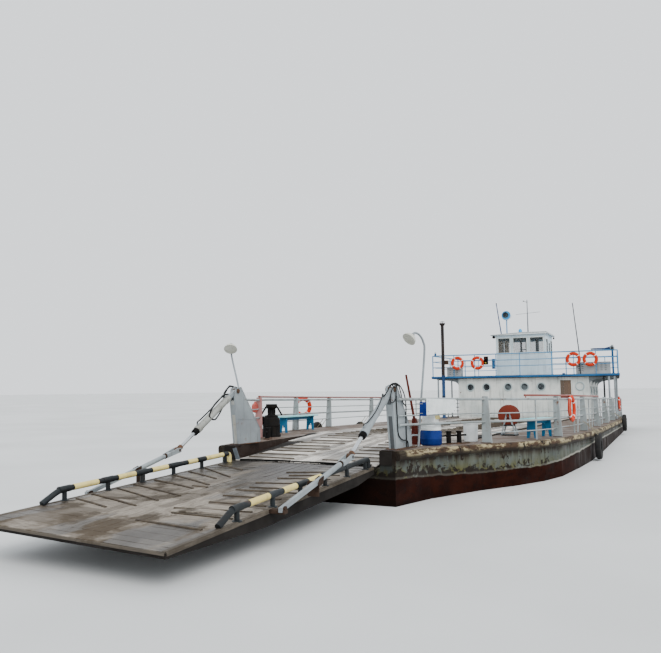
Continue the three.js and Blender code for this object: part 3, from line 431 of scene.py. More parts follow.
def hull_paint():
    """Grey-green sides, rust-red bottom, brown deck, with peeling and slime; painted shade near the
    waterline and at the front under the ramp's hinge.
    """
    s = Surface("hull_paint", roughness=0.6)
    x, y, z = s.axes()
    ragged = s.noise(2.5, 6)
    line = s.curve(
        x, ORIGIN.x - 31, ORIGIN.x,
        [
            (ORIGIN.x - 31, 0.6), (ORIGIN.x - 11, 0.58), (ORIGIN.x - 8.1, 0.47), (ORIGIN.x - 5.4, 0.36),
            (ORIGIN.x - 3.0, 0.32), (ORIGIN.x - 0.3, 0.42)
        ]
    )
    above = z - (ORIGIN.z - 1.0) - line
    above = above + (ragged - 0.5) * 0.1
    cloud = s.noise(0.9, 5)
    side = s.mix(s.band(cloud, 0.35, 0.65), "434946", "545852")
    runs = s.noise(2.0, 6, stretch=(4, 4, 0.5))
    side = s.mix(s.band(runs, 0.44, 0.7, 0.0, 0.75), side, "2c2c23")
    bow = s.band(x, ORIGIN.x - 8, ORIGIN.x - 2, 0.0, 1.0)
    moss = s.noise(3.2, 8, rough=0.7)
    low = s.band(above, 0.02, 0.30, 1.0, 0.0)
    mossy = s.band(moss, 0.42, 0.54) * (bow + 0.12)
    mossy = mossy * (low + 0.25)
    side = s.mix(mossy * 0.85, side, "4e4c2b")
    peel = s.noise(4.6, 9, rough=0.74, warp=0.5)
    rough_bow = bow * (0.055 + low * 0.14)
    bare = peel + rough_bow
    peeled = s.band(bare, 0.61, 0.65)
    side = s.mix(peeled, side, s.mix(s.noise(15, 4), "0d0b08", "251c14"))
    red = s.mix(s.band(s.noise(1.6, 7, stretch=(1, 1, 2)), 0.35, 0.65), "180704", "260e07")
    red = s.mix(s.band(s.noise(7, 6), 0.5, 0.7, 0.0, 0.7), red, "110806")
    aft = s.band(x, ORIGIN.x - 9.5, ORIGIN.x - 6.5, 0.8, 0.0)
    red = s.mix(aft, red, "2a2523")
    # Near-black towards the bottom of the red zone: painted shade near the waterline.
    darkening = s.band(above, -0.70, -0.30, 0.85, 0.0)
    red = s.mix(darkening, red, "090504")
    painted_part = s.band(above, -0.012, 0.012)
    colour = s.mix(painted_part, red, side)
    s.feed(s.shader.inputs["Specular IOR Level"], s.band(above, -0.012, 0.012, 0.03, 0.12))
    edge = s.band(above, -0.01, 0.01) * s.band(above, 0.03, 0.06, 1.0, 0.0)
    edge = edge * s.band(x, ORIGIN.x - 7.5, ORIGIN.x - 4.5, 0.65, 0.1)
    colour = s.mix(edge, colour, "98958a")
    under_belt = s.band(z, ORIGIN.z - 0.40, ORIGIN.z - 0.2, 0.0, 0.85)
    colour = s.mix(under_belt * s.band(runs, 0.3, 0.55), colour, "2b1e16")
    deck = s.mix(s.band(s.noise(1.4, 6), 0.4, 0.62), "6b625a", "594b41")
    deck = s.mix(s.band(s.noise(5, 7), 0.52, 0.66, 0.0, 0.8), deck, "4a3226")
    top = s.band(s.normal()[2], 0.6, 0.8) * s.band(z, ORIGIN.z - 0.4, ORIGIN.z - 0.35)
    turned_in = s.band(s.normal()[1] * y, -1.2, -0.6, 1.0, 0.0)
    coaming = turned_in * s.band(z, ORIGIN.z - 0.45, ORIGIN.z - 0.42)
    brown = s.mix(s.noise(4, 6), "1d1612", "33261f")
    colour = s.mix(coaming, colour, brown)
    colour = s.mix(top, colour, deck)
    # Near-black at the hull's front by the hinge: painted shade under the ramp.
    hinge = s.band(x, ORIGIN.x - 0.15, ORIGIN.x - 0.10)
    colour = s.mix(hinge, colour, "0d0a08")
    s.colour(colour)
    s.roughness(s.band(s.noise(1.2, 4), 0.4, 0.7, 0.75, 0.4))
    plates = s.noise(0.7, 2)
    s.bump(plates * 3.0 + (1.0 - peeled), 0.35, 0.008)
    return s.material


def belt_paint():
    """The rubbing belt: bare rusty steel and old cream paint, with painted shade on its lower part."""
    s = Surface("belt_paint", roughness=0.8)
    x, _, z = s.axes()
    brown = s.mix(s.noise(6, 7), "2c2018", "4f3b2a")
    flakes = s.noise(3.6, 9, rough=0.74, stretch=(0.5, 1, 2))
    cream = s.mix(s.noise(9, 6, rough=0.7), "80714f", "aba183")
    bow = s.band(x, ORIGIN.x - 9, ORIGIN.x - 1, 0.045, 0.022)
    bare = flakes + bow
    colour = s.mix(s.band(bare, 0.52, 0.57, 0.0, 0.9), brown, cream)
    dark = s.noise(5.5, 8, stretch=(1, 1, 0.7), rough=0.66)
    colour = s.mix(s.band(dark, 0.54, 0.62), colour, "17110c")
    # Darker on the lower part: painted shade on the belt's underside.
    low = s.band(z, ORIGIN.z - 0.15, ORIGIN.z - 0.07, 0.93, 0.0)
    colour = s.mix(low, colour, "19130e")
    tip = s.band(x, ORIGIN.x - 0.42, ORIGIN.x - 0.30, 0.0, 0.92)
    s.colour(s.mix(tip, colour, "1c150f"))
    s.bump(flakes + s.noise(40, 3) * 0.3, 0.5, 0.012)
    return s.material


def wood(name, pale, dark, darkening=0.5, mud=0.75, muddy_tip=False):
    """Worn planks: grain along each board, its own tone, wet tracks and mud."""
    s = Surface(name, roughness=0.8)
    along = s.uv("grain")
    board = s.axes(s.uv("board"))[0]
    grain = s.noise(3.0, 8, stretch=(1.2, 26, 1), place=along, rough=0.62)
    colour = s.mix(s.band(grain, 0.32, 0.68), dark, pale)
    colour = s.mix(s.band(board, 0.0, 1.0, 0.0, 0.75), colour, "575048")
    cracks = s.noise(7.0, 5, stretch=(0.8, 40, 1), place=along)
    colour = s.mix(s.band(cracks, 0.6, 0.68, 0.0, 0.85), colour, "211c18")
    dirt = s.noise(1.3, 8, rough=0.66)
    colour = s.mix(s.band(dirt, 0.49, 0.6, 0.0, mud), colour, "3b3329")
    soaked = s.noise(0.55, 5, stretch=(0.6, 1.6, 1))
    soak = s.band(soaked, 0.47, 0.58, 0.0, darkening)
    if muddy_tip:
        x = s.axes()[0]
        tip = s.band(x, ORIGIN.x + 4.6, ORIGIN.x + 6.3) * s.band(dirt, 0.36, 0.56)
        colour = s.mix(tip * 0.85, colour, "44392b")
        near = s.band(x, ORIGIN.x + 0.8, ORIGIN.x + 3.4, 0.95, 0.0)
        soak = soak.or_more(near * s.band(soaked, 0.36, 0.52))
    colour = s.mix(soak, colour, "2b2723")
    s.colour(colour)
    s.roughness(s.band(soak, 0.0, 0.5, 0.82, 0.38))
    s.bump(grain - s.band(cracks, 0.62, 0.7), 0.45, 0.006)
    return s.material


def glass(name, tint, alpha):
    """Dusty window glass over a dim room."""
    s = Surface(name, roughness=0.08, Alpha=alpha)
    dust = s.noise(3, 5)
    s.colour(s.mix(s.band(dust, 0.4, 0.7, 0.0, 0.5), tint, "7d888b"))
    s.roughness(s.band(dust, 0.4, 0.7, 0.05, 0.25))
    return s.material


def make_materials():
    """Every finish by its short name; the colours are display codes."""
    return {
        "hull": hull_paint(), "belt": belt_paint(),
        "wood": wood("planks", "9d958a", "5f574d", 0.75, 0.9, True),
        "lane_wood": wood("lane_planks", "e9e4dc", "b0aaa2", 0.45, 0.55),
        "wood_edge": wood("plank_ends", "5f574c", "332d26", 0.2),
        # Near-black for the ramp's deck, the planking's base, the bridge deck's underside and plates at
        # the hinge: painted shade.
        "under": plain("painted_shadow_black", "1b1714", "120f0d", 0.9, 0.0, 2.0),
        "cleat": plain("cleat_steel", "3a332b", "50473c", 0.85, 0.0, 9.0),
        "grey": painted("grey_paint", "8c9497", "797f83", 0.35, 0.45, 0.5),
        "dirty_grey": painted("dirty_grey_paint", "9a9c97", "7f7f78", 0.45, 0.95, 0.6, 1.6),
        "shaded_grey": painted("shaded_grey_paint", "4c5053", "434748", 0.4, 0.5, 0.55),
        "column": painted("column_paint", "a9adab", "95948c", 0.6, 0.6, 0.55),
        "rail": painted("rail_paint", "929a9c", "7a807f", 0.6, 0.45, 0.5),
        "handrail": painted("red_paint", "7d4038", "8f5850", 0.5, 0.2, 0.55),
        "dark": painted("dark_paint", "15181a", "22272a", 0.3, 0.2, 0.5),
        "black": plain("black_paint", "0b0b0b", "141413", 0.7, sheen=0.05),
        "iron": plain("worn_iron", "100f0f", "1d1a17", 0.7, sheen=0.08),
        "old_iron": plain("old_iron", "392c24", "261d18", 0.8, 0.0, 9.0, sheen=0.1),
        "float": plain("float_pink", "b3574d", "97463f", 0.6),
        "post_pink": painted("post_pink", "9b6e6a", "8f7876", 0.5, 0.4, 0.55),
        "cream": painted("cream_paint", "dccb84", "c6b372", 0.4, 0.25, 0.55),
        "white": painted("white_paint", "d6d9d4", "b6bdba", 0.35, 0.5, 0.5),
        "cabin_white": painted("cabin_white", "c3d4dd", "b1c3cd", 0.22, 0.2, 0.45),
        "locker": painted("locker_paint", "a3a6a7", "8d9193", 0.3, 0.3, 0.5),
        "clean_white": plain("clean_white", "d9dddd", "c6cccc", 0.5),
        "blue": painted("blue_paint", "184a76", "25608f", 0.25, 0.15, 0.5),
        "pale_blue": painted("pale_blue_paint", "4f87ae", "3a749f", 0.25, 0.1, 0.45),
        "teal": painted("teal_paint", "0f587e", "1b6488", 0.3, 0.25, 0.55),
        "cyan": painted("cyan_paint", "7cc6cf", "9fd3d6", 0.3, 0.2, 0.55),
        "plastic_blue": plain("blue_plastic", "0a225f", "122d70", 0.5, sheen=0.12),
        "orange": plain("ring_orange", "c23114", "ab2d17", 0.65, sheen=0.1),
        "ring_white": plain("ring_white", "e9e6e0", "cfcac2", 0.6),
        "red": painted("reel_red", "6c2616", "5a2215", 0.35, 0.25, 0.5),
        "rust": painted("rusted_steel", "4b382b", "352a22", 0.9, 0.3, 0.8),
        "chrome": plain("rod_chrome", "c9ccce", "aab0b3", 0.22, 0.9, 4.0, 0.05),
        "bronze": plain("bronze", "9a7b3c", "6f6a45", 0.35, 0.9),
        "rubber": plain("tyre_rubber", "1c1c1d", "2e2d2b", 0.85, 0.0, 8.0, 0.4),
        "hose": plain("hose_rubber", "101112", "1e1f20", 0.6),
        "pole_red": plain("pole_red", "44170f", "552319", 0.6, sheen=0.1),
        "navy": painted("navy_paint", "16345a", "1f4067", 0.3, 0.2, 0.5),
        "deck_blue": painted("deck_blue_paint", "5d84a0", "6d7c84", 0.6, 0.5, 0.7),
        "lamp_blue": plain("lamp_blue", "2b86bd", "4ba3d0", 0.4),
        "mast_grey": plain("mast_grey", "565c61", "454b50", 0.5),
        "whip_grey": plain("whip_grey", "32373b", "24282b", 0.5),
        "soot": painted("sooty_steel", "2a2423", "1d1a1a", 0.5, 0.3, 0.85),
        "shade": painted("lamp_shade", "c9c9c0", "b2b2a6", 0.25, 0.2, 0.45),
        # The lamp dish's dark lining: painted shade inside the dish.
        "dish_inside_shadow": plain("dish_inside_shadow", "4a4b40", "3a3b33", 0.7),
        "rim": painted("porthole_rim", "a9b7b8", "93a3a5", 0.3, 0.2, 0.5),
        "curtain_dark": plain("curtain_dark", "3c342e", "2c2724", 0.9, 0.0, 4.0),
        "rope": plain("rope", "8b8470", "6c6656", 0.9, 0.0, 30.0, 0.5),
        "glass": glass("window_glass", "4a565b", 0.2),
        "dark_glass": glass("porthole_glass", "10161b", 0.96),
        "panel_wood": wood("panel_wood", "7a6453", "54443a", 0.0, 0.3),
        "lamp_red": plain("signal_red", "7a2f2a", "5c2521", 0.3),
        "lamp_yellow": plain("signal_yellow", "e3d95a", "c7c04a", 0.3),
        "curtain": plain("curtain", "8a7b68", "6c5f50", 0.9, 0.0, 4.0)
    }


# ---- Shapes


def fillet(points, radius, steps=4):
    """A polyline with its corners rounded."""
    points = [spot(point) for point in points]
    made = [points[0]]
    for before, corner, after in zip(points, points[1:], points[2:]):
        into, out = before - corner, after - corner
        reach = min(radius, into.length * 0.45, out.length * 0.45)
        start = corner + into.normalized() * reach
        end = corner + out.normalized() * reach
        for i in range(steps + 1):
            t = i / steps
            made.append((1 - t) ** 2 * start + 2 * t * (1 - t) * corner + t * t * end)
    return made + [points[-1]]


def smooth_path(points, steps=6):
    """A soft curve through all the points."""
    points = [spot(point) for point in points]
    padded = [2 * points[0] - points[1], *points, 2 * points[-1] - points[-2]]
    made = []
    for a, b, c, d in zip(padded, padded[1:], padded[2:], padded[3:]):
        for t in (i / steps for i in range(steps)):
            square, cube = 2 * a - 5 * b + 4 * c - d, 3 * b - a - 3 * c + d
            made.append(0.5 * (2 * b + (c - a) * t + square * t * t + cube * t**3))
    return made + [points[-1]]


CREASE = math.radians(32)


def settled(name, data, node, body):
    """A piece of the scene with its finish, its node if it replaces one, and its body."""
    piece = linked(name, data)
    if node:
        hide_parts(node)
    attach(piece, body)
    return piece


class Shape:
    """Gathers simple forms into one piece with its own materials."""

    def __init__(self):
        self.mesh = bmesh.new()
        self.grain = self.mesh.loops.layers.uv.new("grain")
        self.board = self.mesh.loops.layers.uv.new("board")
        self.materials = []

    def slot(self, name):
        """The mesh's slot for a finish of MATERIALS."""
        if name not in self.materials:
            self.materials.append(name)
        return self.materials.index(name)

    def skin(self, rings, material, loop=False):
        """A skin over rings of points, all of one count; loop closes it on itself."""
        index = self.slot(material)
        rows = [[self.mesh.verts.new(p) for p in ring] for ring in rings]
        faces = []
        for row, other in zip(rows, rows[1:] + rows[:1] if loop else rows[1:]):
            for i in range(len(row)):
                j = (i + 1) % len(row)
                faces.append(self.mesh.faces.new((row[i], row[j], other[j], other[i])))
        if not loop:
            faces.append(self.mesh.faces.new(rows[0][::-1]))
            faces.append(self.mesh.faces.new(rows[-1]))
        for face in faces:
            face.material_index = index
            face.smooth = True
        return faces

    def tube(self, points, radius, material, sides=12, loop=False, end_radius=None):
        """A round bar along points, which may taper to its end."""
        points = [spot(point) for point in points]
        count = len(points)
        ways = []
        for i, point in enumerate(points):
            before = points[i - 1] if i or loop else point
            after = points[(i + 1) % count] if i + 1 < count or loop else point
            ways.append((after - before).normalized())
        normal = ways[0].orthogonal().normalized()
        rings = []
        for i, (point, way) in enumerate(zip(points, ways)):
            normal = (normal - way * normal.dot(way)).normalized()
            size = radius
            if end_radius is not None:
                size = radius + (end_radius - radius) * i / (count - 1)
            rings.append([point + size * out for out in spokes(normal, way.cross(normal), sides)])
        return self.skin(rings, material, loop=loop)

    def rod(self, start, end, radius, material, sides=12):
        return self.tube([start, end], radius, material, sides)

    def turned(self, profile, centre, material, sides=28, axis=UP):
        """A turned form about axis through centre; profile is (radius, height) pairs."""
        axis = Vector(axis).normalized()
        ways = spokes(*square_to(axis), sides)
        foot = spot(centre)
        return self.skin([
            [foot + axis * height + way * max(radius, 0.0005) for way in ways]
            for radius, height in profile
        ], material)

    def block(self, low, high, material, edge=0.006, place=ship):
        """A box with eased edges."""
        (x0, x1), (y0, y1) = (sorted(ends) for ends in zip(low[:2], high[:2]))
        z0, z1 = low[2], high[2]
        edge = min(edge, (x1 - x0) / 3, (y1 - y0) / 3, abs(z1 - z0) / 3)

        def section(x, inset):
            a0, a1, b0, b1 = y0 + inset, y1 - inset, z0 + inset, z1 - inset
            corners = [
                (a0 + edge, b0), (a1 - edge, b0), (a1, b0 + edge), (a1, b1 - edge), (a1 - edge, b1),
                (a0 + edge, b1), (a0, b1 - edge), (a0, b0 + edge)
            ]
            return [place(x, a, b) for a, b in corners]

        rings = [
            section(x0, edge * 0.9), section(x0 + edge, 0), section(x1 - edge, 0), section(x1, edge * 0.9)
        ]
        return self.skin(rings, material)

    def prism(self, outline, low, high, material, plane="side", place=ship):
        """An outline drawn from the side (x, z), front (y, z) or above (x, y), made thick."""
        put = {
            "side": lambda a, b, t: place(a, t, b), "front": lambda a, b, t: place(t, a, b),
            "plan": lambda a, b, t: place(a, b, t)
        }[plane]
        rings = [[put(a, b, t) for a, b in outline] for t in (low, high)]
        return self.skin(rings, material)

    def plank(self, start, end, wide, thick, material, place, lift_end=0.0, bend=0.0):
        """A worn board from start to end, (along, across), its underside at height 0."""
        (a0, b0), (a1, b1) = start, end
        length = math.hypot(a1 - a0, b1 - b0)
        ux, uy = (a1 - a0) / length, (b1 - b0) / length
        half = wide / 2
        ease = min(0.006, thick / 3)
        tone, shift = DICE.random(), DICE.random() * 40
        steps = max(2, int(length / 0.35))
        lean = DICE.uniform(-0.003, 0.003)
        rings = []
        for i in range(steps + 1):
            t = i / steps
            rise = lift_end * t * t + bend * 4 * t * (1 - t) + DICE.uniform(-0.001, 0.001)
            wander = DICE.uniform(-0.002, 0.002)
            a, b = a0 + (a1 - a0) * t, b0 + (b1 - b0) * t
            outline = [
                (-half, -0.004), (half, -0.004), (half, thick - ease), (half - ease, thick),
                (-half + ease, thick), (-half, thick - ease)
            ]
            rings.append([
                place(a - uy * (w + wander), b + ux * (w + wander), h + rise + lean * w / half)
                for w, h in outline
            ])
        faces = self.skin(rings, material)
        way = (rings[-1][0] - rings[0][0]).normalized()
        for loop in (loop for face in faces for loop in face.loops):
            offset = loop.vert.co - rings[0][0]
            along = offset.dot(way)
            across = (offset - way * along).length
            loop[self.grain].uv = (along + shift, across + shift * 0.37)
            loop[self.board].uv = (tone, tone)

    def finish(self, name, node=None, body="ferry"):
        """Makes the piece, which may stand for a node, and lets it ride on a body."""
        bmesh.ops.recalc_face_normals(self.mesh, faces=self.mesh.faces)
        for edge in self.mesh.edges:
            if len(edge.link_faces) == 2:
                edge.smooth = edge.calc_face_angle(0) < CREASE
        data = bpy.data.meshes.new(name)
        self.mesh.to_mesh(data)
        self.mesh.free()
        for material in self.materials:
            data.materials.append(MATERIALS[material])
        return settled(name, data, node, body)


# ---- Hull, belt and planks

# The ramp's deck and the planking's base take the near-black "under" finish, which is painted shade.
DRESS = {
    "hull": "hull", "deck_planking": "under", "ramp_deck": "under", "deckhouse_walls": "white",
    "wheelhouse_walls": "cabin_white", "wheelhouse_roof": "clean_white", "bridge_deck": "blue",
    "helm_console": "dark"
}
PAIRED_DRESS = {
    "deckhouse_door": "white", "wheelhouse_door": "cabin_white", "bridge_locker": "locker",
    "propeller": "bronze", "rudder": "rust"
}
for hand, _ in PORT_AND_STARBOARD:
    DRESS.update((f"{pair}_{hand}", paint) for pair, paint in PAIRED_DRESS.items())


def dress_nodes():
    """Each CAD node gets its material; those that are replaced are hidden later."""
    for name, node in NODES.items():
        material = MATERIALS[DRESS.get(name, "grey")]
        node.data.materials.clear()
        node.data.materials.append(material)


# The bow's plating: x, half-beam, packed knuckle, bottom's half-beam and height, then the
# plating's own knuckle and bottom, which lie below the waterline
FOREFOOT = (
    (-0.12, 2.17, -0.45, 1.95, -0.6, -1.22, -1.32), (-1.4, 2.5, -0.6, 2.25, -0.9, -1.26, -1.42),
    (-3.0, 3.2, -0.76, 2.95, -1.3, -1.32, -1.58), (-4.1, 3.8, -0.82, 3.55, -1.55, -1.38, -1.7),
    (-5.2, 4.28, -0.9, 4.05, -1.75, -1.43, -1.84), (-6.3, 4.56, -1.25, 4.2, -1.9, -1.46, -1.92)
)


def hull_plating():
    """The hull with its bow plates carried straight down below the waterline."""
    data = NODES["hull"].data.copy()
    for vertex in data.vertices:
        place = vertex.co - ORIGIN
        for x, half, knuckle, bottom_half, bottom, new_knuckle, new_bottom in FOREFOOT:
            for y, z, new_z in ((half, knuckle, new_knuckle), (bottom_half, bottom, new_bottom)):
                if (Vector((x, y, z)) - Vector((place.x, abs(place.y), place.z))).length < 0.003:
                    vertex.co.z = ORIGIN.z + new_z
    settled("hull_worn", data, "hull", "ferry")


def belt():
    """The rubbing belt with rounded, dented edges, right round the stern."""
    shape = Shape()
    side = [(-0.135, deck_half(-0.13))]
    x = -0.5
    while x > STERN_X + 0.3:
        side.append((x, deck_half(x)))
        x -= 0.3
    side.append((STERN_X, deck_half(STERN_X)))
    back = [(STERN_X, deck_half(STERN_X) * (1 - k / 12)) for k in range(1, 24)]
    run = side + back + [(x, -y) for x, y in reversed(side)]
    section = [
        (0.001, -BELT_HIGH), (0.085, -BELT_HIGH), (0.113, -0.17), (0.12, -0.12), (0.12, -0.06),
        (0.108, -0.02), (0.08, 0.0), (0.001, 0.002)
    ]
    rings = []
    for i, (x, y) in enumerate(run):
        before, after = run[max(0, i - 1)], run[min(len(run) - 1, i + 1)]
        way = Vector((after[0] - before[0], after[1] - before[1], 0)).normalized()
        out = Vector((-way.y, way.x, 0)) * -1
        if out.y * y < 0 and abs(way.x) > 0.5:
            out = -out
        if abs(way.y) > 0.99 and x <= STERN_X:
            out = Vector((-1, 0, 0))
        dent = DICE.uniform(-0.006, 0.0)
        rings.append(
            [ship(x, y, z + (dent if z > -0.1 else 0)) + out * max(0.001, w + dent) for w, z in section]
        )
    shape.skin(rings, "belt")
    shape.finish("rubbing_belt_worn", "rubbing_belt")


PLANK_HIGH = 0.014
BAY_INNER = 0.62
CLEAT_STEP = 0.51


def planked(shape, start, end, half, place, wood):
    """Crosswise boards in two bays, lengthwise boards between them."""
    direction = 1 if end > start else -1
    count = round(abs(end - start) / 0.25)
    step = abs(end - start) / count
    for i in range(count):
        a = start + direction * (i + 0.5) * step
        reach = min(half(a) - 0.012, 1.76)
        for s in (1, -1):
            shape.plank((a, s * BAY_INNER), (a, s * reach), step - 0.011, PLANK_HIGH, wood, place)
    rows = 6
    wide = 2 * BAY_INNER / rows
    for k in range(rows):
        y = -BAY_INNER + (k + 0.5) * wide
        a = start
        while abs(end - a) > 0.1:
            run = min(abs(end - a), DICE.uniform(1.6, 3.2))
            other = a + direction * run
            gap = 0.004 * direction
            shape.plank((a, y), (other - gap, y), wide - 0.015, PLANK_HIGH, wood, place)
            a = other


def cleats(shape, places, reach, place):
    """Raised cleats across each bay, for grip."""
    for a in places:
        for s in (1, -1):
            out = reach(a) - DICE.uniform(0.0, 0.12)
            inner = DICE.uniform(0.28, 0.62)
            start = (a + DICE.uniform(-0.03, 0.03), s * inner)
            shape.plank(start, (a, s * out), 0.04, 0.034, "cleat", place)


# The ramp's cleats: along and across of the outer end, then of the inner end
RAMP_CLEATS = (
    (4.69, -1.62, 4.96, -0.68), (4.29, -1.69, 4.69, -0.32), (3.71, -1.68, 4.25, -0.26),
    (3.31, -1.66, 3.79, -0.18), (2.79, -1.62, 3.2, -0.38), (2.2, -1.66, 2.83, -0.31),
    (1.73, -1.66, 2.25, -0.58), (1.22, -1.64, 1.99, -0.45), (0.75, -1.64, 1.2, -0.7),
    (5.44, 1.56, 5.39, 0.35), (4.79, 1.6, 4.84, 0.53), (4.33, 1.63, 4.57, 0.35), (3.94, 1.62, 4.02, 0.6),
    (3.42, 1.58, 3.5, 0.5), (2.92, 1.6, 3.02, 0.42), (2.6, 1.55, 2.74, 0.52), (2.11, 1.5, 2.35, 0.39),
    (1.62, 1.56, 1.8, 0.52), (1.2, 1.55, 1.49, 0.59), (0.8, 1.5, 1.18, 0.35)
)


def ramp_planks():
    """The ramp's planking, its end boards and cleats."""
    shape = Shape()
    on_ramp = lambda a, b, h: ramp(a, b, RAMP_TOP + h)
    tip = RAMP_LENGTH - 0.005
    planked(shape, RAMP_START + 0.01, tip - 0.36, lambda a: RAMP_HALF, on_ramp, "wood")
    for a, wide in ((tip - 0.265, 0.18), (tip - 0.085, 0.17)):
        shape.plank((a, -RAMP_HALF + 0.01), (a, RAMP_HALF - 0.01), wide, PLANK_HIGH, "wood", on_ramp)
    shape.finish("ramp_planks", body="bow_ramp")
    bars = Shape()
    for outer_a, outer_b, inner_a, inner_b in RAMP_CLEATS:
        bend = DICE.uniform(0.0, 0.006)
        bars.plank((inner_a, inner_b), (outer_a, outer_b), 0.04, 0.032, "cleat", on_ramp, 0.0, bend)
    bars.finish("ramp_cleats", body="bow_ramp")
    loose = Shape()
    loose.plank((4.70, 0.42), (4.56, 1.55), 0.19, 0.024, "wood", on_ramp, 0.0, 0.03)
    loose.plank((3.02, -0.2), (3.0, -0.55), 0.05, 0.03, "cleat", on_ramp)
    loose.finish("ramp_loose_board", body="bow_ramp")
    sides = Shape()
    for s in (1, -1):
        y = s * (RAMP_HALF - 0.035)
        sides.plank((0.12, y), (RAMP_LENGTH - 0.02, y), 0.07, 0.02, "wood_edge", on_ramp)
        on_side = lambda a, b, h: ramp(a, s * (RAMP_HALF + h), RAMP_TOP + b)
        a = 0.10
        while a < RAMP_LENGTH - 0.2:
            other = min(RAMP_LENGTH - 0.02, a + DICE.uniform(1.1, 2.3))
            sides.plank((a, -0.016), (other - 0.006, -0.016), 0.046, 0.012, "wood_edge", on_side)
            a = other
    at_tip = lambda a, b, h: ramp(RAMP_LENGTH + h, a, RAMP_TOP + b)
    sides.plank((-RAMP_HALF + 0.01, -0.012), (0.3, -0.012), 0.036, 0.012, "wood_edge", at_tip)
    sides.plank((0.31, -0.012), (RAMP_HALF - 0.01, -0.012), 0.036, 0.012, "wood_edge", at_tip)
    sides.finish("ramp_side_strips", body="bow_ramp")


def lane_planks():
    """Planks and cleats on the sloping lane."""
    shape = Shape()
    on_lane = lambda a, b, h: ship(a, b, lane_top(a) + h)
    planked(shape, -0.06, -24.28, lane_half, on_lane, "lane_wood")
    for s in (1, -1):
        a = -0.9
        while a > -24.2:
            other = max(-24.28, a - DICE.uniform(2.0, 3.4))
            room = min(lane_half(a), lane_half(other)) - 1.77
            rows = int(room / 0.2)
            for k in range(rows):
                y = s * (1.77 + (k + 0.5) * room / rows)
                wide = room / rows - 0.006
                shape.plank((a, y), (other + 0.005, y), wide, PLANK_HIGH, "lane_wood", on_lane)
            a = other
    shape.finish("lane_planks")
    # A black strip along the lane's end at the hinge stands for the raised board ends in shade: painted
    # shade.
    lip = Shape()
    for y0, y1, lift_end in ((-1.64, -0.30, 0.012), (-0.28, 1.02, -0.004), (1.04, 1.66, 0.0)):
        lip.plank((-0.085, y0), (-0.078, y1), 0.04, 0.034, "black", on_lane, lift_end, 0.008)
    lip.finish("lane_end_shade_strip")
    bars = Shape()
    places = [-0.5 - CLEAT_STEP * i for i in range(46)]
    cleats(bars, places, lambda a: min(lane_half(a) - 0.05, 1.75), on_lane)
    bars.finish("lane_cleats")


def hull_details():
    """Weld seams and a half-round on the sides, and plates beside the ramp's hinge."""
    shape = Shape()
    for s in (1, -1):
        for x in (-2.2, -5.25, -8.7, -12.2, -15.7, -19.2, -22.7, -26.2):
            y = s * (deck_half(x) + 0.001)
            low = -0.55 if x > -4 else -0.9
            shape.rod((x, y, -BELT_HIGH), (x, y, low), 0.008, "hull", 6)
        path = [ship(x, s * (deck_half(x) + 0.004), -0.33) for x in (-5.3, -8.6, -10.6, -14.0, -25.0)]
        shape.tube(path, 0.012, "hull", 6)
    for s in (1, -1):
        shape.block((-0.13, s * 1.84, -0.02), (-0.42, s * 2.12, 0.012), "soot", 0.006)
        # Upright plates at the hinge in the near-black of painted shade.
        shape.block((-0.125, s * 1.82, -0.3), (-0.1, s * 2.1, -0.02), "under", 0.004)
    shape.finish("hull_seams")


# ---- Ramp fittings

# Cream bands on each kerb rail, from and to, metres from the hinge
CREAM_BANDS = {
    "port": [(2.31, 2.77), (3.18, 3.6), (4.0, 4.55)],
    "starboard": [(0.48, 1.1), (1.41, 1.71), (2.33, 2.78), (3.23, 3.67), (4.14, 4.67)]
}
KERB_POSTS = (0.385, 1.232, 2.135, 3.026, 3.895, 4.85)
KERB_HIGH = RAMP_TOP + 0.2


def kerbs():
    """Kerb rails along the ramp, on their posts."""
    for side, s in PORT_AND_STARBOARD:
        shape = Shape()
        y = s * KERB_Y
        rail = fillet([
            ramp(0.23, y, RAMP_TOP + 0.005), ramp(0.23, y, KERB_HIGH), ramp(4.95, y, KERB_HIGH),
            ramp(5.3, y, RAMP_TOP + 0.04)
        ], 0.12, 6)
        shape.tube(rail, 0.05, "dark", 14)
        if s < 0:
            shape.tube(rail[:7], 0.0516, "cream", 14)
        for a, b in CREAM_BANDS[side]:
            steps = [a + (b - a) * i / 4 for i in range(5)]
            shape.tube([ramp(t, y, KERB_HIGH) for t in steps], 0.0516, "cream", 14)
        for a in KERB_POSTS[1:]:
            shape.tube([ramp(a + t, y, KERB_HIGH) for t in (-0.12, -0.1, 0.1, 0.12)], 0.056, "dark", 14)
        for a in KERB_POSTS:
            shape.rod(ramp(a, y, RAMP_TOP), ramp(a, y, KERB_HIGH), 0.04, "dark", 12)
            shape.turned(
                [(0.075, 0.0), (0.075, 0.012), (0.045, 0.02)], ramp(a, y, RAMP_TOP + PLANK_HIGH - 0.004),
                "dark", 14, axis=ramp(0, 0, 1) - ramp(0, 0, 0)
            )
        shape.finish("ramp_kerb_rail_" + side, "ramp_kerb_" + side, body="bow_ramp")


ARM_FOOT = (4.15, 0.045)


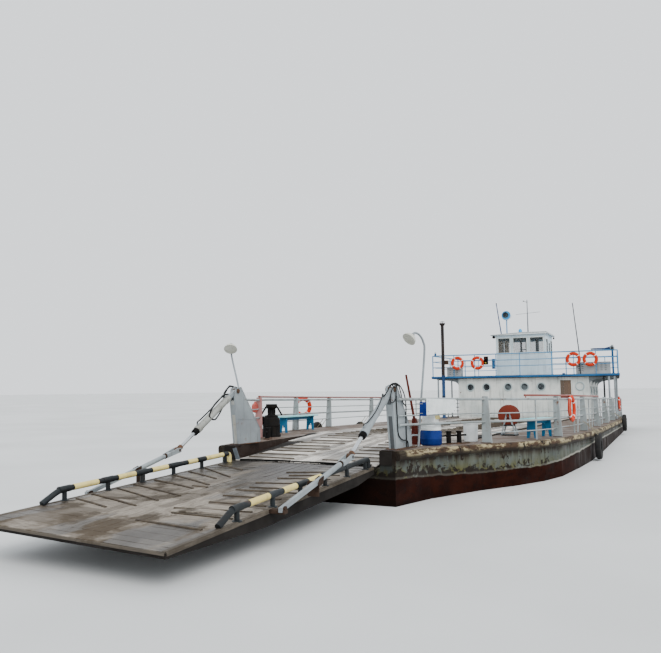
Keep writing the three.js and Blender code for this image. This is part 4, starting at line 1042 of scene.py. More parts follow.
def ramp_arms():
    """Lifting arms: a forked head for the rod's eye, a slim bar, rusty plates and foot."""
    eye = (
        LIFT_EYE[0] * math.cos(RAMP_SLOPE) - (LIFT_EYE[1] - HINGE_Z) * math.sin(RAMP_SLOPE),
        LIFT_EYE[0] * math.sin(RAMP_SLOPE) + (LIFT_EYE[1] - HINGE_Z) * math.cos(RAMP_SLOPE)
    )
    fall = (eye[1] - ARM_FOOT[1]) / (ARM_FOOT[0] - eye[0])
    height = lambda a: eye[1] - fall * (a - eye[0])
    for side, s in PORT_AND_STARBOARD:
        shape = Shape()
        y = s * LIFT_Y
        inner = s * (RAMP_HALF + 0.001)
        for k in (1, -1):
            a, b = sorted((y + k * 0.048, y + k * 0.066))
            cheek = [
                (eye[0] - 0.05, eye[1] - 0.045), (eye[0] - 0.05, eye[1] + 0.045),
                (eye[0] + 0.05, eye[1] + 0.05), (2.05, height(2.05) + 0.038),
                (2.05, height(2.05) - 0.038), (eye[0] + 0.04, eye[1] - 0.055)
            ]
            shape.prism(cheek, a, b, "grey", "side", level_ramp)
        shape.turned([
            (0.02, -0.068), (0.03, -0.068), (0.03, 0.068), (0.02, 0.068)
        ], level_ramp(eye[0], y, eye[1]), "old_iron", 20, axis=(0, 1, 0))
        shape.tube([level_ramp(a, y, height(a)) for a in (1.93, 2.0, 2.86)], 0.046, "grey", 16)
        shape.turned(
            [(0.05, -0.02), (0.056, -0.01), (0.056, 0.03), (0.05, 0.04)],
            level_ramp(2.05, y, height(2.05)), "old_iron", 20,
            axis=level_ramp(3, y, height(3)) - level_ramp(2, y, height(2))
        )
        bar = [
            (2.8, height(2.8) + 0.042), (2.86, height(2.86) + 0.045), (4.14, ARM_FOOT[1] + 0.05),
            (4.14, ARM_FOOT[1] - 0.02), (2.86, height(2.86) - 0.035), (2.8, height(2.8) - 0.03)
        ]
        shape.prism(bar, y - 0.03, y + 0.03, "grey", "side", level_ramp)
        plate = [
            (2.78, height(2.78) + 0.03), (2.8, height(2.8) + 0.055), (2.93, height(2.93) + 0.05),
            (3.0, height(3.0) - 0.01), (2.95, height(2.95) - 0.07), (2.82, height(2.82) - 0.06)
        ]
        for k in (1, -1):
            a, b = sorted((y + k * 0.034, y + k * 0.046))
            shape.prism(plate, a, b, "old_iron", "side", level_ramp)
        shape.block((2.88, inner, 0.03), (2.90, y, height(2.88) - 0.01), "old_iron", 0.003, level_ramp)
        shape.block(
            (4.0, inner, -0.01), (4.12, y + s * 0.06, ARM_FOOT[1] + 0.01), "old_iron", 0.012, level_ramp
        )
        shape.block(
            (4.02, y - 0.04, ARM_FOOT[1] - 0.01), (4.11, y + 0.04, ARM_FOOT[1] + 0.055), "old_iron",
            0.012, level_ramp
        )
        shape.turned(
            [(0.025, -0.065), (0.035, -0.06), (0.035, 0.06), (0.025, 0.065)],
            level_ramp(4.06, y, ARM_FOOT[1] + 0.03), "old_iron", 20, axis=(0, 1, 0)
        )
        shape.finish("ramp_arm_worn_" + side, "ramp_arm_" + side, body="bow_ramp")


def lifts():
    """Cylinders: barrel with its gland and hoses, rod with its eye and pin."""
    for side, s in PORT_AND_STARBOARD:
        at = lambda along, across, up: lift(s, along, across, up)
        shape = Shape()
        start, end = 0.30, 1.78
        profile = [
            (0.03, start - 0.004), (0.066, start), (0.078, start + 0.02), (0.078, start + 0.11),
            (0.084, start + 0.12), (0.084, start + 0.15), (0.076, start + 0.16), (0.076, end - 0.25),
            (0.087, end - 0.24), (0.087, end - 0.12), (0.078, end - 0.11)
        ]
        base = at(0, 0, 0)
        paint = "grey" if s > 0 else "dirty_grey"
        shape.turned(profile, base, paint, 32, axis=LIFT_WAY)
        gland = [(0.07, end - 0.111), (0.074, end - 0.1), (0.074, end - 0.02), (0.066, end), (0.044, end)]
        shape.turned(gland, base, "black", 32, axis=LIFT_WAY)
        shape.block((0.0, -0.034, -0.054), (start + 0.01, 0.034, 0.054), "grey", 0.008, at)
        shape.turned([
            (0.026, -0.0446), (0.06, -0.0446), (0.06, 0.0446), (0.026, 0.0446)
        ], base, "rust", axis=(0, 1, 0))
        for along in (0.42, 1.58):
            shape.rod(at(along, 0, 0.065), at(along, 0, 0.12), 0.02, "grey", 12)
        if s < 0:
            second = smooth_path([
                at(0.3, 0.02, 0.1), at(0.5, 0.03, 0.17), at(0.85, 0.02, 0.165), at(1.1, 0.03, 0.1),
                at(1.2, 0.06, 0.03), at(1.05, 0.04, -0.12), at(0.8, 0.0, -0.13), at(0.62, 0.0, -0.07)
            ])
            shape.tube(second, 0.018, "hose", 8)
        feed = smooth_path([
            at(0.42, 0, 0.12), at(0.46, 0.01 * s, 0.16), at(0.62, 0.03 * s, 0.13),
            at(1.0, 0.045 * s, 0.1), at(1.4, 0.03 * s, 0.115), at(1.55, 0.0, 0.145), at(1.58, 0.0, 0.12)
        ])
        shape.tube(feed, 0.011 if s > 0 else 0.016, "hose", 8)
        body = f"lift_barrel_{side}_body"
        shape.finish("lift_cylinder_" + side, "lift_barrel_" + side, body=body)

        rod = Shape()
        eye = LIFT_REACH
        rod.rod(at(1.0, 0, 0), at(eye - 0.09, 0, 0), 0.037, "chrome", 24)
        rod.turned([
            (0.05, eye - 0.13), (0.056, eye - 0.12), (0.056, eye - 0.05)
        ], base, "rust", 20, axis=LIFT_WAY)
        rod.turned([
            (0.02, -0.0446), (0.062, -0.0446), (0.062, 0.0446), (0.02, 0.0446)
        ], at(eye, 0, 0), "rust", axis=(0, 1, 0))
        rod.finish(
            "lift_rod_worn_" + side, "lift_rod_" + side, body=f"lift_rod_{side}_body"
        )


PYLON = [(-0.42, 0.0), (-0.235, 1.12), (-0.285, 1.315), (-0.47, 1.36), (-1.30, 0.36), (-1.33, 0.0)]
PYLON_HALF = 0.0825


def lamp_dish(shape, centre, mouth):
    """An enamelled dish with its bulb; the middle of its mouth's plane lies 0.06 along mouth."""
    outer = [(0.045, -0.09), (0.06, -0.08), (0.105, -0.045), (0.15, 0.01), (0.163, 0.052), (0.165, 0.06)]
    shape.turned(outer, centre, "shade", 36, axis=mouth)
    # The lining's dark finish is painted shade inside the dish.
    lining = [(0.159, 0.0585), (0.143, 0.02), (0.1, -0.03), (0.055, -0.062), (0.02, -0.066)]
    shape.turned(lining, centre, "dish_inside_shadow", 36, axis=mouth)
    bulb = [(0.02, -0.07), (0.024, -0.04), (0.045, -0.012), (0.05, 0.01), (0.038, 0.035), (0.01, 0.046)]
    shape.turned(bulb, centre, "ring_white", 24, axis=mouth)
    shape.turned([(0.03, -0.125), (0.04, -0.12), (0.045, -0.085)], centre, "grey", 20, axis=mouth)


def pylons():
    """The pylons that carry the lifting cylinders, with their feet, pins and lamps."""
    for side, s in PORT_AND_STARBOARD:
        shape = Shape()
        y = s * LIFT_Y
        low = y - PYLON_HALF
        high = y + PYLON_HALF
        for a, b in ((low, low + 0.0375), (high - 0.0375, high)):
            shape.prism(PYLON, a, b, "grey")
        shape.prism([
            (-0.56, 0.95), (-0.6, 1.2), (-1.28, 0.36), (-1.31, 0.0), (-0.44, 0.0), (-0.26, 0.95)
        ], low + 0.01, high - 0.01, "grey")
        shape.prism(
            [(-0.425, 0.0), (-0.25, 1.04), (-0.29, 1.05), (-0.47, 0.0)], low + 0.002, high - 0.002,
            "shaded_grey" if s > 0 else "column"
        )
        face = low - 0.0035 if s > 0 else high + 0.0035
        for x0, z0, x1, z1 in ((-1.12, 0.58, -0.36, 0.60), (-0.62, 0.60, -0.60, 1.18)):
            shape.tube([(x0, face, z0), (x1, face, z1)], 0.006, "grey", 6)
        edge = [(-1.335, 0.0), (-1.305, 0.37), (-0.475, 1.37), (-0.285, 1.325)]
        for (x0, z0), (x1, z1) in zip(edge, edge[1:]):
            shape.tube([(x0, low - 0.004, z0), (x1, low - 0.004, z1)], 0.009, "grey", 6)
            shape.tube([(x0, high + 0.004, z0), (x1, high + 0.004, z1)], 0.009, "grey", 6)
        pin = ship(LIFT_PIN[0], y, LIFT_PIN[1])
        for k in (1, -1):
            shape.turned([
                (0.055, k * PYLON_HALF), (0.055, k * (PYLON_HALF + 0.02)), (0.04, k * (PYLON_HALF + 0.03))
            ], pin, "rust", 24, axis=(0, 1, 0))
        shape.rod((LIFT_PIN[0], low, LIFT_PIN[1]), (LIFT_PIN[0], high, LIFT_PIN[1]), 0.025, "rust", 16)
        shape.block((-1.42, y - 0.15, 0.0), (-0.38, y + 0.15 + 0.04 * s, 0.025), "rust", 0.006)
        for x in (-1.25, -0.85, -0.5):
            shape.prism(
                [(x - 0.05, 0.02), (x + 0.05, 0.02), (x + 0.02, 0.26), (x - 0.02, 0.26)],
                (high if s < 0 else low) - 0.004, (high if s < 0 else low) + 0.004, "grey"
            )
        if s > 0:
            post = smooth_path([
                (-1.64, 2.14, 0.0), (-1.64, 2.21, 0.9), (-1.64, 2.32, 2.1), (-1.61, 2.31, 2.36),
                (-1.52, 2.26, 2.51), (-1.4, 2.2, 2.56), (-1.32, 2.165, 2.53)
            ])
            shape.tube(post, 0.024, "grey", 12)
            lamp_dish(shape, ship(-1.25, 2.13, 2.44), (0.66, -0.35, -0.67))
            shape.block((-1.66, 2.0, 0.235), (-1.2, 2.06, 0.265), "grey", 0.004)
            shape.rod((-1.64, 2.0, 0.25), (-1.64, 2.17, 0.25), 0.02, "grey", 8)
        else:
            post = smooth_path([
                (-0.64, -2.0, 0.95), (-0.73, -2.2, 1.5), (-0.88, -2.49, 2.16), (-0.862, -2.482, 2.4),
                (-0.795, -2.448, 2.437)
            ])
            shape.tube(post, 0.022, "grey", 12)
            lamp_dish(shape, ship(-0.74, -2.42, 2.36), (0.55, 0.28, -0.78))
        shape.finish("pylon_worn_" + side, "pylon_" + side)


def hoses():
    """Hydraulic hoses from the deck up each pylon and over to the cylinder's foot."""
    for side, s in PORT_AND_STARBOARD:
        shape = Shape()
        y = s * (LIFT_Y + PYLON_HALF + 0.018)
        upright = (
            (-1.0, 0.0, 0.02), (-0.97, 0.0, 0.5), (-0.95, 0.01, 0.95), (-0.8, 0.02, 1.2),
            (-0.58, 0.01, 1.36), (-0.42, 0.0, 1.37)
        )
        curled = (
            (-1.04, 0.02, 0.02), (-0.95, 0.03, 0.16), (-0.7, 0.01, 0.2), (-0.5, 0.0, 0.34),
            (-0.45, 0.0, 0.7), (-0.41, 0.0, 1.05), (-0.36, 0.02, 1.25), (-0.42, 0.01, 1.382)
        )
        looped = (
            (-0.95, 0.02, 0.9), (-0.72, 0.03, 1.0), (-0.6, 0.03, 1.2), (-0.5, 0.02, 1.36),
            (-0.42, 0.02, 1.394)
        )
        for route in (upright, curled, looped):
            path = smooth_path([(x, y + s * out, z) for x, out, z in route])
            shape.tube(path, 0.013, "hose", 8)
        drooping = smooth_path([
            (-0.36, y, 1.3), (-0.2, y + s * 0.03, 1.33), (-0.02, y + s * 0.03, 1.16),
            (-0.08, y + s * 0.01, 1.0), (-0.3, y, 1.02), (-0.44, y, 1.12)
        ])
        if s > 0:
            shape.tube(drooping, 0.011, "hose", 8)
            tangle = [
                ship(
                    -0.3 - 0.05 * k + 0.07 * math.cos(k), y - 0.04 * (k % 3),
                    1.37 + 0.035 * math.sin(2 * k)
                ) for k in range(7)
            ]
            shape.tube(smooth_path(tangle, 5), 0.011, "hose", 8)
        shape.finish("pylon_hoses_" + side)
        for k in range(3):
            bend = Shape()
            out = y + s * 0.01 * k
            path = smooth_path([
                (-0.42, out, 1.37 + 0.012 * k), (-0.3, out, 1.375 + 0.014 * k),
                (-0.17, s * (LIFT_Y + 0.07), 1.34 + 0.014 * k),
                lift(s, 0.3, (0.05 + 0.01 * k) * s, 0.125 + 0.012 * k),
                lift(s, 0.42 + 0.02 * k, 0.02 * s, 0.1)
            ], 5)
            bend.tube(path, 0.012, "hose", 8)
            piece = bend.finish(f"lift_hose_{side}_{k + 1}")
            piece.parent = None
            end = lift(s, 0.30, 0, 0.12)
            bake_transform(piece)


# ---- Rails

RAIL_TOP = 1.06
HAND_TOP = 1.155
# The side rails' pipes, to port and to starboard: height and radius
RAIL_PIPES = {
    1: ((RAIL_TOP, 0.032), (0.71, 0.015), (0.51, 0.028), (0.24, 0.015)),
    -1: ((RAIL_TOP, 0.032), (0.8, 0.015), (0.56, 0.028), (0.33, 0.015))
}
RAIL_END = -24.2
RAIL_BREAK = -10.95
BESIDE_PYLON = LIFT_Y + PYLON_HALF + 0.032
SIDE_POSTS = {
    1: (-3.5, -7.03, -10.95, -14.9, -18.7, -22.5), -1: (-3.05, -7.65, -10.6, -14.9, -18.7, -22.5)
}
# Thin uprights and slanting stays between the flat posts, on the port side
THIN_POSTS = (-5.4, -9.3, -12.6, -16.6, -20.4)
STAYS = (-9.9, -13.4, -17.3, -21.0)


def flat_post(shape, x, s, material="rail"):
    """A wide tapered plate post on a foot plate."""
    y = rail_y(x, s)
    outline = [
        (s * (y - 0.1), 0.0), (s * (y - 0.075), 1.11), (s * (y - 0.06), 1.13), (s * (y + 0.05), 1.13),
        (s * (y + 0.065), 1.11), (s * (y + 0.14), 0.0)
    ]
    shape.prism(outline, x - 0.04, x + 0.04, material, "front")
    shape.block((x - 0.09, s * (y - 0.12), 0.0), (x + 0.09, s * (y + 0.13), 0.012), "rust", 0.004)


def side_rail(side, s, line):
    """A length of side rail with the posts that stand along it."""
    shape = Shape()
    for z, radius in RAIL_PIPES[s]:
        run = line
        if z < 0.3 and line[0][0] > SIDE_POSTS[1][0]:
            run = rail_line(SIDE_POSTS[1][0], line[-1][0], RAIL_INSET[1])
        path = [ship(x, s * y, z + DICE.uniform(-0.004, 0.004)) for x, y in run]
        shape.tube(path, radius, "rail", 12)
    start, end = line[0][0], line[-1][0]
    for x in SIDE_POSTS[s]:
        if end - 0.01 <= x < start:
            flat_post(shape, x, s, material="post_pink" if (s, x) == (-1, -3.05) else "rail")
    if end == RAIL_END:
        shape.rod((end, s * rail_y(end, s), 0), (end, s * rail_y(end, s), RAIL_TOP), 0.03, "rail", 12)
    if s > 0:
        for x in THIN_POSTS:
            if end < x < start:
                shape.rod((x, rail_y(x, s), 0), (x, rail_y(x, s), 1.05), 0.022, "rail", 10)
        for x in STAYS:
            if end < x < start:
                y = rail_y(x, s)
                shape.prism([
                    (x, 0.0), (x + 0.1, 0.0), (x - 0.3, 1.04), (x - 0.38, 1.04)
                ], y - 0.015, y + 0.015, "rail")
    shape.finish("side_rail_worn_" + side, "side_rail_" + side)


def side_rails():
    """Rails along both sides of the deck."""
    beside = [(-0.5, BESIDE_PYLON), (-0.9, BESIDE_PYLON)]
    side_rail("port", 1, beside + rail_line(-1.4, RAIL_BREAK, RAIL_INSET[1]))
    side_rail("port_aft", 1, rail_line(RAIL_BREAK - 0.041, RAIL_END, RAIL_INSET[1]))
    side_rail("starboard", -1, beside + rail_line(-1.4, RAIL_END, RAIL_INSET[-1]))
    for side, s in PORT_AND_STARBOARD:
        hand = Shape()
        fore = -4.9 if s > 0 else -3.0
        path = [ship(x, s * y, HAND_TOP) for x, y in rail_line(fore, -16.0, RAIL_INSET[s])]
        hand.tube(path, 0.028, "handrail", 12)
        for x in (fore - 0.05, *(x for x in SIDE_POSTS[s] if -15.0 < x < -5.0), -15.9):
            y = s * rail_y(x, s)
            hand.rod((x, y, RAIL_TOP), (x, y, HAND_TOP), 0.014, "handrail", 8)
        hand.finish("handrail_" + side)


def stern_rail():
    """The rail round the stern."""
    shape = Shape()
    start = HOUSE_FRONT - 0.1
    for z, radius in RAIL_PIPES[-1]:
        half = [(x, y) for x, y in rail_line(start, -30.4, STERN_INSET)] + [(-30.85, 4.3)]
        run = half + [(x, -y) for x, y in reversed(half)]
        shape.tube(fillet([(x, y, z) for x, y in run], 0.2), radius, "rail", 12)
    posts = [(x, s * (deck_half(x) - STERN_INSET)) for x in (start, -26.5, -28.5, -30.4) for s in (1, -1)]
    posts += [(-30.85, y) for y in (-4.3, -2.15, 0.0, 2.15, 4.3)]
    for x, y in posts:
        shape.rod((x, y, 0), (x, y, RAIL_TOP), 0.032, "rail", 12)
        shape.turned([(0.07, 0.0), (0.07, 0.01), (0.04, 0.014)], (x, y, 0), "rust", 14)
    shape.finish("stern_rail_worn", "stern_rail")


def bridge_rail():
    """The rail round the bridge deck."""
    shape = Shape()
    x0, x1 = BRIDGE_FRONT - 0.07, BRIDGE_AFT + 0.07
    half = lambda x: bridge_half(x) - 0.07
    corners = [(x0, -half(x0)), (x0, half(x0)), (x1, half(x1)), (x1, -half(x1))]
    for z, radius in ((3.56, 0.03), (3.21, 0.018), (2.88, 0.018)):
        loop = []
        for i, (x, y) in enumerate(corners):
            before, after = corners[i - 1], corners[(i + 1) % 4]
            for other in (before, after):
                way = Vector((other[0] - x, other[1] - y, 0)).normalized()
                loop.append(ship(x, y, z) + way * 0.08)
        shape.tube(loop, radius, "pale_blue", 12, loop=True)
    across = (-3.7, -2.5, -1.3, 0.0, 1.69, 2.8, 3.9)
    feet = [(x, y, y == 1.69) for x in (x0, x1) for y in across]
    feet += [(x, y, True) for x, y in corners]
    feet += [(x, s * half(x), True) for x in (x0 - 1.4, x0 - 2.8, x0 - 4.2) for s in (-1, 1)]
    for x, y, strong in feet:
        shape.rod((x, y, BRIDGE_TOP), (x, y, 3.56), 0.03 if strong else 0.022, "pale_blue", 10)
        shape.turned([(0.06, 0.0), (0.06, 0.008), (0.03, 0.012)], (x, y, BRIDGE_TOP), "blue", 12)
    shape.finish("bridge_rail_worn", "bridge_rail")


# ---- Round things

RING_TUBE = 0.08
# Two rings on the side rails by number: radius, and degrees turned aft. The others are square to
# the rail and 0.3 in radius.
SIDE_RINGS = {5: (0.33, 0), 7: (0.30, 33.4)}


def outward(x, side):
    """Level and square to the hull's side at x, away from the ship."""
    slope = (deck_half(x + 0.01) - deck_half(x - 0.01)) / 0.02
    return Vector((-slope, side, 0)).normalized()


def life_ring(number):
    """A ring with four white bands and a grab line, lying where its CAD node does."""
    name = f"life_ring_{number}"
    low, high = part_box(name)
    centre = (low + high) / 2
    radius, turned = SIDE_RINGS.get(number, (0.30, 0))
    axis = Vector((1, 0, 0))
    if high.x - low.x >= 0.12:
        hand = 1 if centre.y > 0 else -1
        axis = Matrix.Rotation(hand * math.radians(turned), 3, "Z") @ outward(centre.x - ORIGIN.x, hand)
    side = axis.cross(UP).normalized()
    shape = Shape()

    def section(turn, grow=1.0):
        out = math.cos(turn) * side + math.sin(turn) * UP
        thick = RING_TUBE * grow
        return [
            centre + out * (radius + thick * math.cos(t)) + axis * (0.6 * thick * math.sin(t))
            for t in (2 * math.pi * k / 16 for k in range(16))
        ]

    offset = DICE.uniform(-0.3, 0.3)
    shape.skin([section(offset + 2 * math.pi * i / 48) for i in range(48)], "orange", loop=True)
    starts = [offset + math.pi / 4 + k * math.pi / 2 for k in range(4)]
    for start in starts:
        shape.skin([section(start + t, 1.02) for t in (-0.055, -0.03, 0, 0.03, 0.055)], "ring_white")
    for start in starts:
        path = []
        for t in (i / 8 for i in range(9)):
            turn = start + t * math.pi / 2
            slack = 0.004 + 0.012 * math.sin(math.pi * t)
            out = math.cos(turn) * side + math.sin(turn) * UP
            path.append(centre + out * (radius + RING_TUBE * 1.02 - 0.012 + slack) + axis * 0.012)
        shape.tube(path, 0.006, "rope", 6)
    shape.finish(f"life_ring_worn_{number}", name)


def tyre(label):
    """A worn tyre with a tread, hung on two ropes over the deck's edge."""
    low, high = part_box("tyre_" + label)
    centre = (low + high) / 2
    x = centre.x - ORIGIN.x
    side = 1 if centre.y > 0 else -1
    axis = outward(x, side)
    shape = Shape()
    profile = [
        (0.205, -0.06), (0.23, -0.085), (0.32, -0.094), (0.39, -0.085), (0.412, -0.06), (0.418, -0.03),
        (0.418, 0.03), (0.412, 0.06), (0.39, 0.085), (0.32, 0.094), (0.23, 0.085), (0.205, 0.06),
        (0.215, 0.05), (0.245, 0.07), (0.33, 0.078), (0.385, 0.05), (0.39, 0.0), (0.385, -0.05),
        (0.33, -0.078), (0.245, -0.07), (0.215, -0.05)
    ]
    rings = []
    for k, out in enumerate(spokes(*square_to(axis), 56)):
        groove = 0.006 if k % 2 else 0.0
        rings.append([centre + out * (r - (groove if r > 0.405 else 0)) + axis * h for r, h in profile])
    shape.skin(rings, "rubber", loop=True)
    for dx in (-0.16, 0.16):
        top = ship(x + dx, side * (rail_y(x + dx, side) + 0.02), 0.33)
        edge = ship(x + dx, side * (deck_half(x + dx) + BELT_THICK - 0.02), 0.03)
        hold = centre + Vector((dx, 0, 0.28)) + axis * 0.04
        path = [top, edge, edge + axis * 0.05 - UP * 0.03, hold]
        shape.tube(fillet(path, 0.05), 0.011, "rope", 8)
    shape.finish("tyre_worn_" + label, "tyre_" + label)


# ---- Foredeck


CAPSTAN = (-3.75, -3.1, 0)
CAPSTAN_MOTOR = (-3.75, -3.235, 0)


def capstan():
    """The capstan's foot with its bolts, motor and boxes, and the head that turns on it."""
    centre = ship(*CAPSTAN)
    base = Shape()
    base.turned([
        (0.275, 0.0), (0.275, 0.05), (0.264, 0.062), (0.254, 0.08), (0.246, 0.3), (0.254, 0.312),
        (0.254, 0.345), (0.245, 0.36), (0.24, 0.49), (0.225, 0.53), (0.2, 0.556), (0.198, 0.5696)
    ], centre, "iron", 36)
    for out in spokes(*LEVEL, 8, math.pi / 8):
        foot = centre + out * 0.262
        base.rod(foot + UP * 0.04, foot + UP * 0.075, 0.014, "iron", 6)
        base.rod(centre + out * 0.249 + UP * 0.08, centre + out * 0.244 + UP * 0.3, 0.012, "iron", 6)
    base.block((-3.87, -3.345, 0.0), (-3.63, -3.15, 0.24), "iron", 0.02)
    base.block((-3.76, -3.47, 0.34), (-3.52, -3.27, 0.58), "iron", 0.02)
    base.block((-3.62, -3.10, 0.0), (-3.48, -2.94, 0.30), "black", 0.02)
    motor = ship(*CAPSTAN_MOTOR)
    base.turned([
        (0.112, 0.2), (0.112, 0.27), (0.1, 0.28), (0.1, 0.47), (0.108, 0.475), (0.108, 0.49),
        (0.09, 0.51), (0.05, 0.52)
    ], motor, "iron")
    for out in spokes(*LEVEL, 14):
        base.rod(motor + out * 0.1 + UP * 0.28, motor + out * 0.1 + UP * 0.47, 0.006, "iron", 4)
    base.finish("capstan_foot", "capstan_base")
    drum = Shape()
    drum.turned([
        (0.19, 0.5705), (0.19, 0.6), (0.175, 0.612), (0.12, 0.628), (0.1, 0.655), (0.09, 0.7),
        (0.09, 0.765), (0.11, 0.79), (0.155, 0.842), (0.165, 0.856), (0.165, 0.93), (0.152, 0.94),
        (0.05, 0.94)
    ], centre, "iron", 36)
    for out in spokes(*LEVEL, 6):
        drum.rod(centre + out * 0.1 + UP * 0.64, centre + out * 0.105 + UP * 0.785, 0.016, "iron", 8)
    for k in (1, -1):
        path = [
            centre + Vector((0, k * 0.12, 0.91)), centre + Vector((0, k * 0.18, 0.87)),
            centre + Vector((0, k * 0.35, 0.63))
        ]
        drum.tube(fillet(path, 0.04), 0.026, "iron", 10)
    drum.finish("capstan_head", "capstan_drum", body="capstan")


BARREL = (-2.15, 2.27, 0)
DECK_TUB = (-3.83, 2.75, 0)
REEL_HUB = (-7.0, 3.04, 0.59)
# Benches: side, x from, x to; the middle line lies BENCH_INSET inside the rail at both ends
BENCHES = (("port", 1, -5.45, -7.2), ("starboard", -1, -5.65, -8.6))
BENCH_INSET = 0.29
SEAT_UNDER = 0.489


def benches():
    """Two slatted benches on splayed legs."""
    for side, s, x0, x1 in BENCHES:
        shape = Shape()
        y0, y1 = (s * (rail_y(x, s) - BENCH_INSET) for x in (x0, x1))
        length = math.hypot(x1 - x0, y1 - y0)
        way = Vector(((x1 - x0) / length, (y1 - y0) / length, 0))
        out = Vector((-way.y, way.x, 0))
        place = lambda a, b, h: ship(x0, y0, h) + way * a + out * b
        for k in range(3):
            low = -0.17 + k * 0.1155
            shape.block((0, low, SEAT_UNDER), (length, low + 0.109, 0.535), "cyan", 0.006, place)
        legs = (0.45, length - 0.13) if s > 0 else (0.25, length - 0.38)
        for a in legs:
            shape.prism([
                (-0.14, 0.0), (-0.075, 0.0), (-0.035, 0.22), (0.035, 0.22), (0.075, 0.0), (0.14, 0.0),
                (0.12, SEAT_UNDER), (-0.12, SEAT_UNDER)
            ], a - 0.03, a + 0.03, "teal", "front", place)
            shape.block((a - 0.055, -0.135, 0.455), (a + 0.055, 0.135, SEAT_UNDER), "teal", 0.004, place)
            inward = 0.42 if a == legs[0] else -0.42
            brace = smooth_path(
                [place(a, 0, 0.17), place(a + inward * 0.45, 0, 0.34), place(a + inward, 0, 0.43)]
            )
            shape.tube(brace, 0.022, "teal", 8)
        shape.block((legs[0], -0.022, 0.385), (legs[1], 0.022, SEAT_UNDER), "teal", 0.005, place)
        shape.finish("bench_worn_" + side, "bench_" + side)


def deck_things():
    """The barrel with its lid and bag, both pairs of bollards, and a tub."""
    shape = Shape()
    centre = ship(*BARREL)
    shape.turned([
        (0.22, 0.0), (0.24, 0.02), (0.25, 0.05), (0.25, 0.14), (0.254, 0.15), (0.25, 0.16), (0.25, 0.3),
        (0.245, 0.32), (0.23, 0.345)
    ], centre, "plastic_blue", 36)
    shape.turned([
        (0.228, 0.345), (0.24, 0.35), (0.24, 0.4), (0.232, 0.41), (0.232, 0.46), (0.22, 0.475),
        (0.1, 0.488), (0.01, 0.4895)
    ], centre, "clean_white", 36)
    shape.block((-2.30, 2.10, 0.489), (-2.00, 2.42, 0.69), "clean_white", 0.02)
    shape.block((-2.32, 2.30, 0.60), (-2.02, 2.45, 0.685), "cream", 0.02)
    grip = [centre + Vector((0.2 * math.cos(t), 0.2 * math.sin(t), 0.48)) for t in (0.2, 0.35, 0.5)]
    shape.tube(grip, 0.008, "black", 6)
    shape.finish("barrel_worn", "barrel")

    for side, s in PORT_AND_STARBOARD:
        posts = Shape()
        for x, y in ((-2.64, 2.54), (-2.96, 2.70)):
            posts.turned([
                (0.058, 0.0), (0.058, 0.27), (0.07, 0.28), (0.07, 0.305), (0.06, 0.31)
            ], (x, s * y, 0), "iron", 24)
        posts.rod((-2.43, s * 2.435, 0.2), (-3.18, s * 2.81, 0.2), 0.022, "iron", 12)
        posts.prism([
            (-2.42, s * 2.33), (-2.5, s * 2.57), (-3.18, s * 2.91), (-3.12, s * 2.67)
        ], 0.0, 0.025, "rust", "plan")
        posts.finish("bollards_worn_" + side, "bollards_" + side)

    tub = Shape()
    tub.turned([
        (0.15, 0.0), (0.165, 0.01), (0.175, 0.2), (0.183, 0.43), (0.19, 0.44), (0.19, 0.46),
        (0.175, 0.465)
    ], DECK_TUB, "clean_white", 36)
    tub.turned([(0.18, 0.462), (0.185, 0.47), (0.18, 0.485), (0.03, 0.496)], DECK_TUB, "chrome", 36)
    grip = [
        ship(*DECK_TUB) + Vector((0.07 * math.cos(t), 0, 0.488 + 0.035 * math.sin(t)))
        for t in (0, 0.8, 1.57, 2.34, 3.14)
    ]
    tub.tube(grip, 0.006, "black", 8)
    tub.finish("deck_tub", "deck_locker")


def reel():
    """The hose reel: its stand, and the drum that turns in it."""
    x, y, z = REEL_HUB
    stand = Shape()
    for dx in (-0.17, 0.13):
        for k in (1, -1):
            stand.prism([
                (y + k * 0.23, 0.0), (y + k * 0.19, 0.0), (y + k * 0.01, z + 0.05),
                (y + k * 0.05, z + 0.05)
            ], x + dx, x + dx + 0.04, "grey", "front")
        stand.prism([
            (y - 0.14, 0.28), (y + 0.14, 0.28), (y + 0.13, 0.32), (y - 0.13, 0.32)
        ], x + dx, x + dx + 0.04, "dark", "front")
        stand.block((x + dx, y - 0.05, z - 0.06), (x + dx + 0.04, y + 0.05, z + 0.05), "red", 0.005)
    stand.block((x - 0.17, y - 0.23, 0.0), (x + 0.17, y + 0.23, 0.04), "dark", 0.006)
    stand.finish("reel_stand_worn", "reel_stand")
    drum = Shape()
    centre = ship(*REEL_HUB)
    drum.turned([
        (0.045, -0.1297), (0.045, -0.122), (0.285, -0.12), (0.3, -0.115), (0.3, -0.1), (0.285, -0.095),
        (0.14, -0.088), (0.14, 0.088), (0.285, 0.095), (0.3, 0.1), (0.3, 0.115), (0.285, 0.12),
        (0.045, 0.122), (0.045, 0.1297)
    ], centre, "red", 40, axis=(1, 0, 0))
    for k in range(5):
        start = -0.075 + 0.03 * k
        loop = [
            centre + Vector((start, 0.16 * math.cos(t), 0.16 * math.sin(t)))
            for t in (2 * math.pi * i / 24 for i in range(24))
        ]
        drum.tube(loop, 0.015, "hose", 8, loop=True)
    drum.finish("reel_drum_worn", "reel_drum", body="reel")


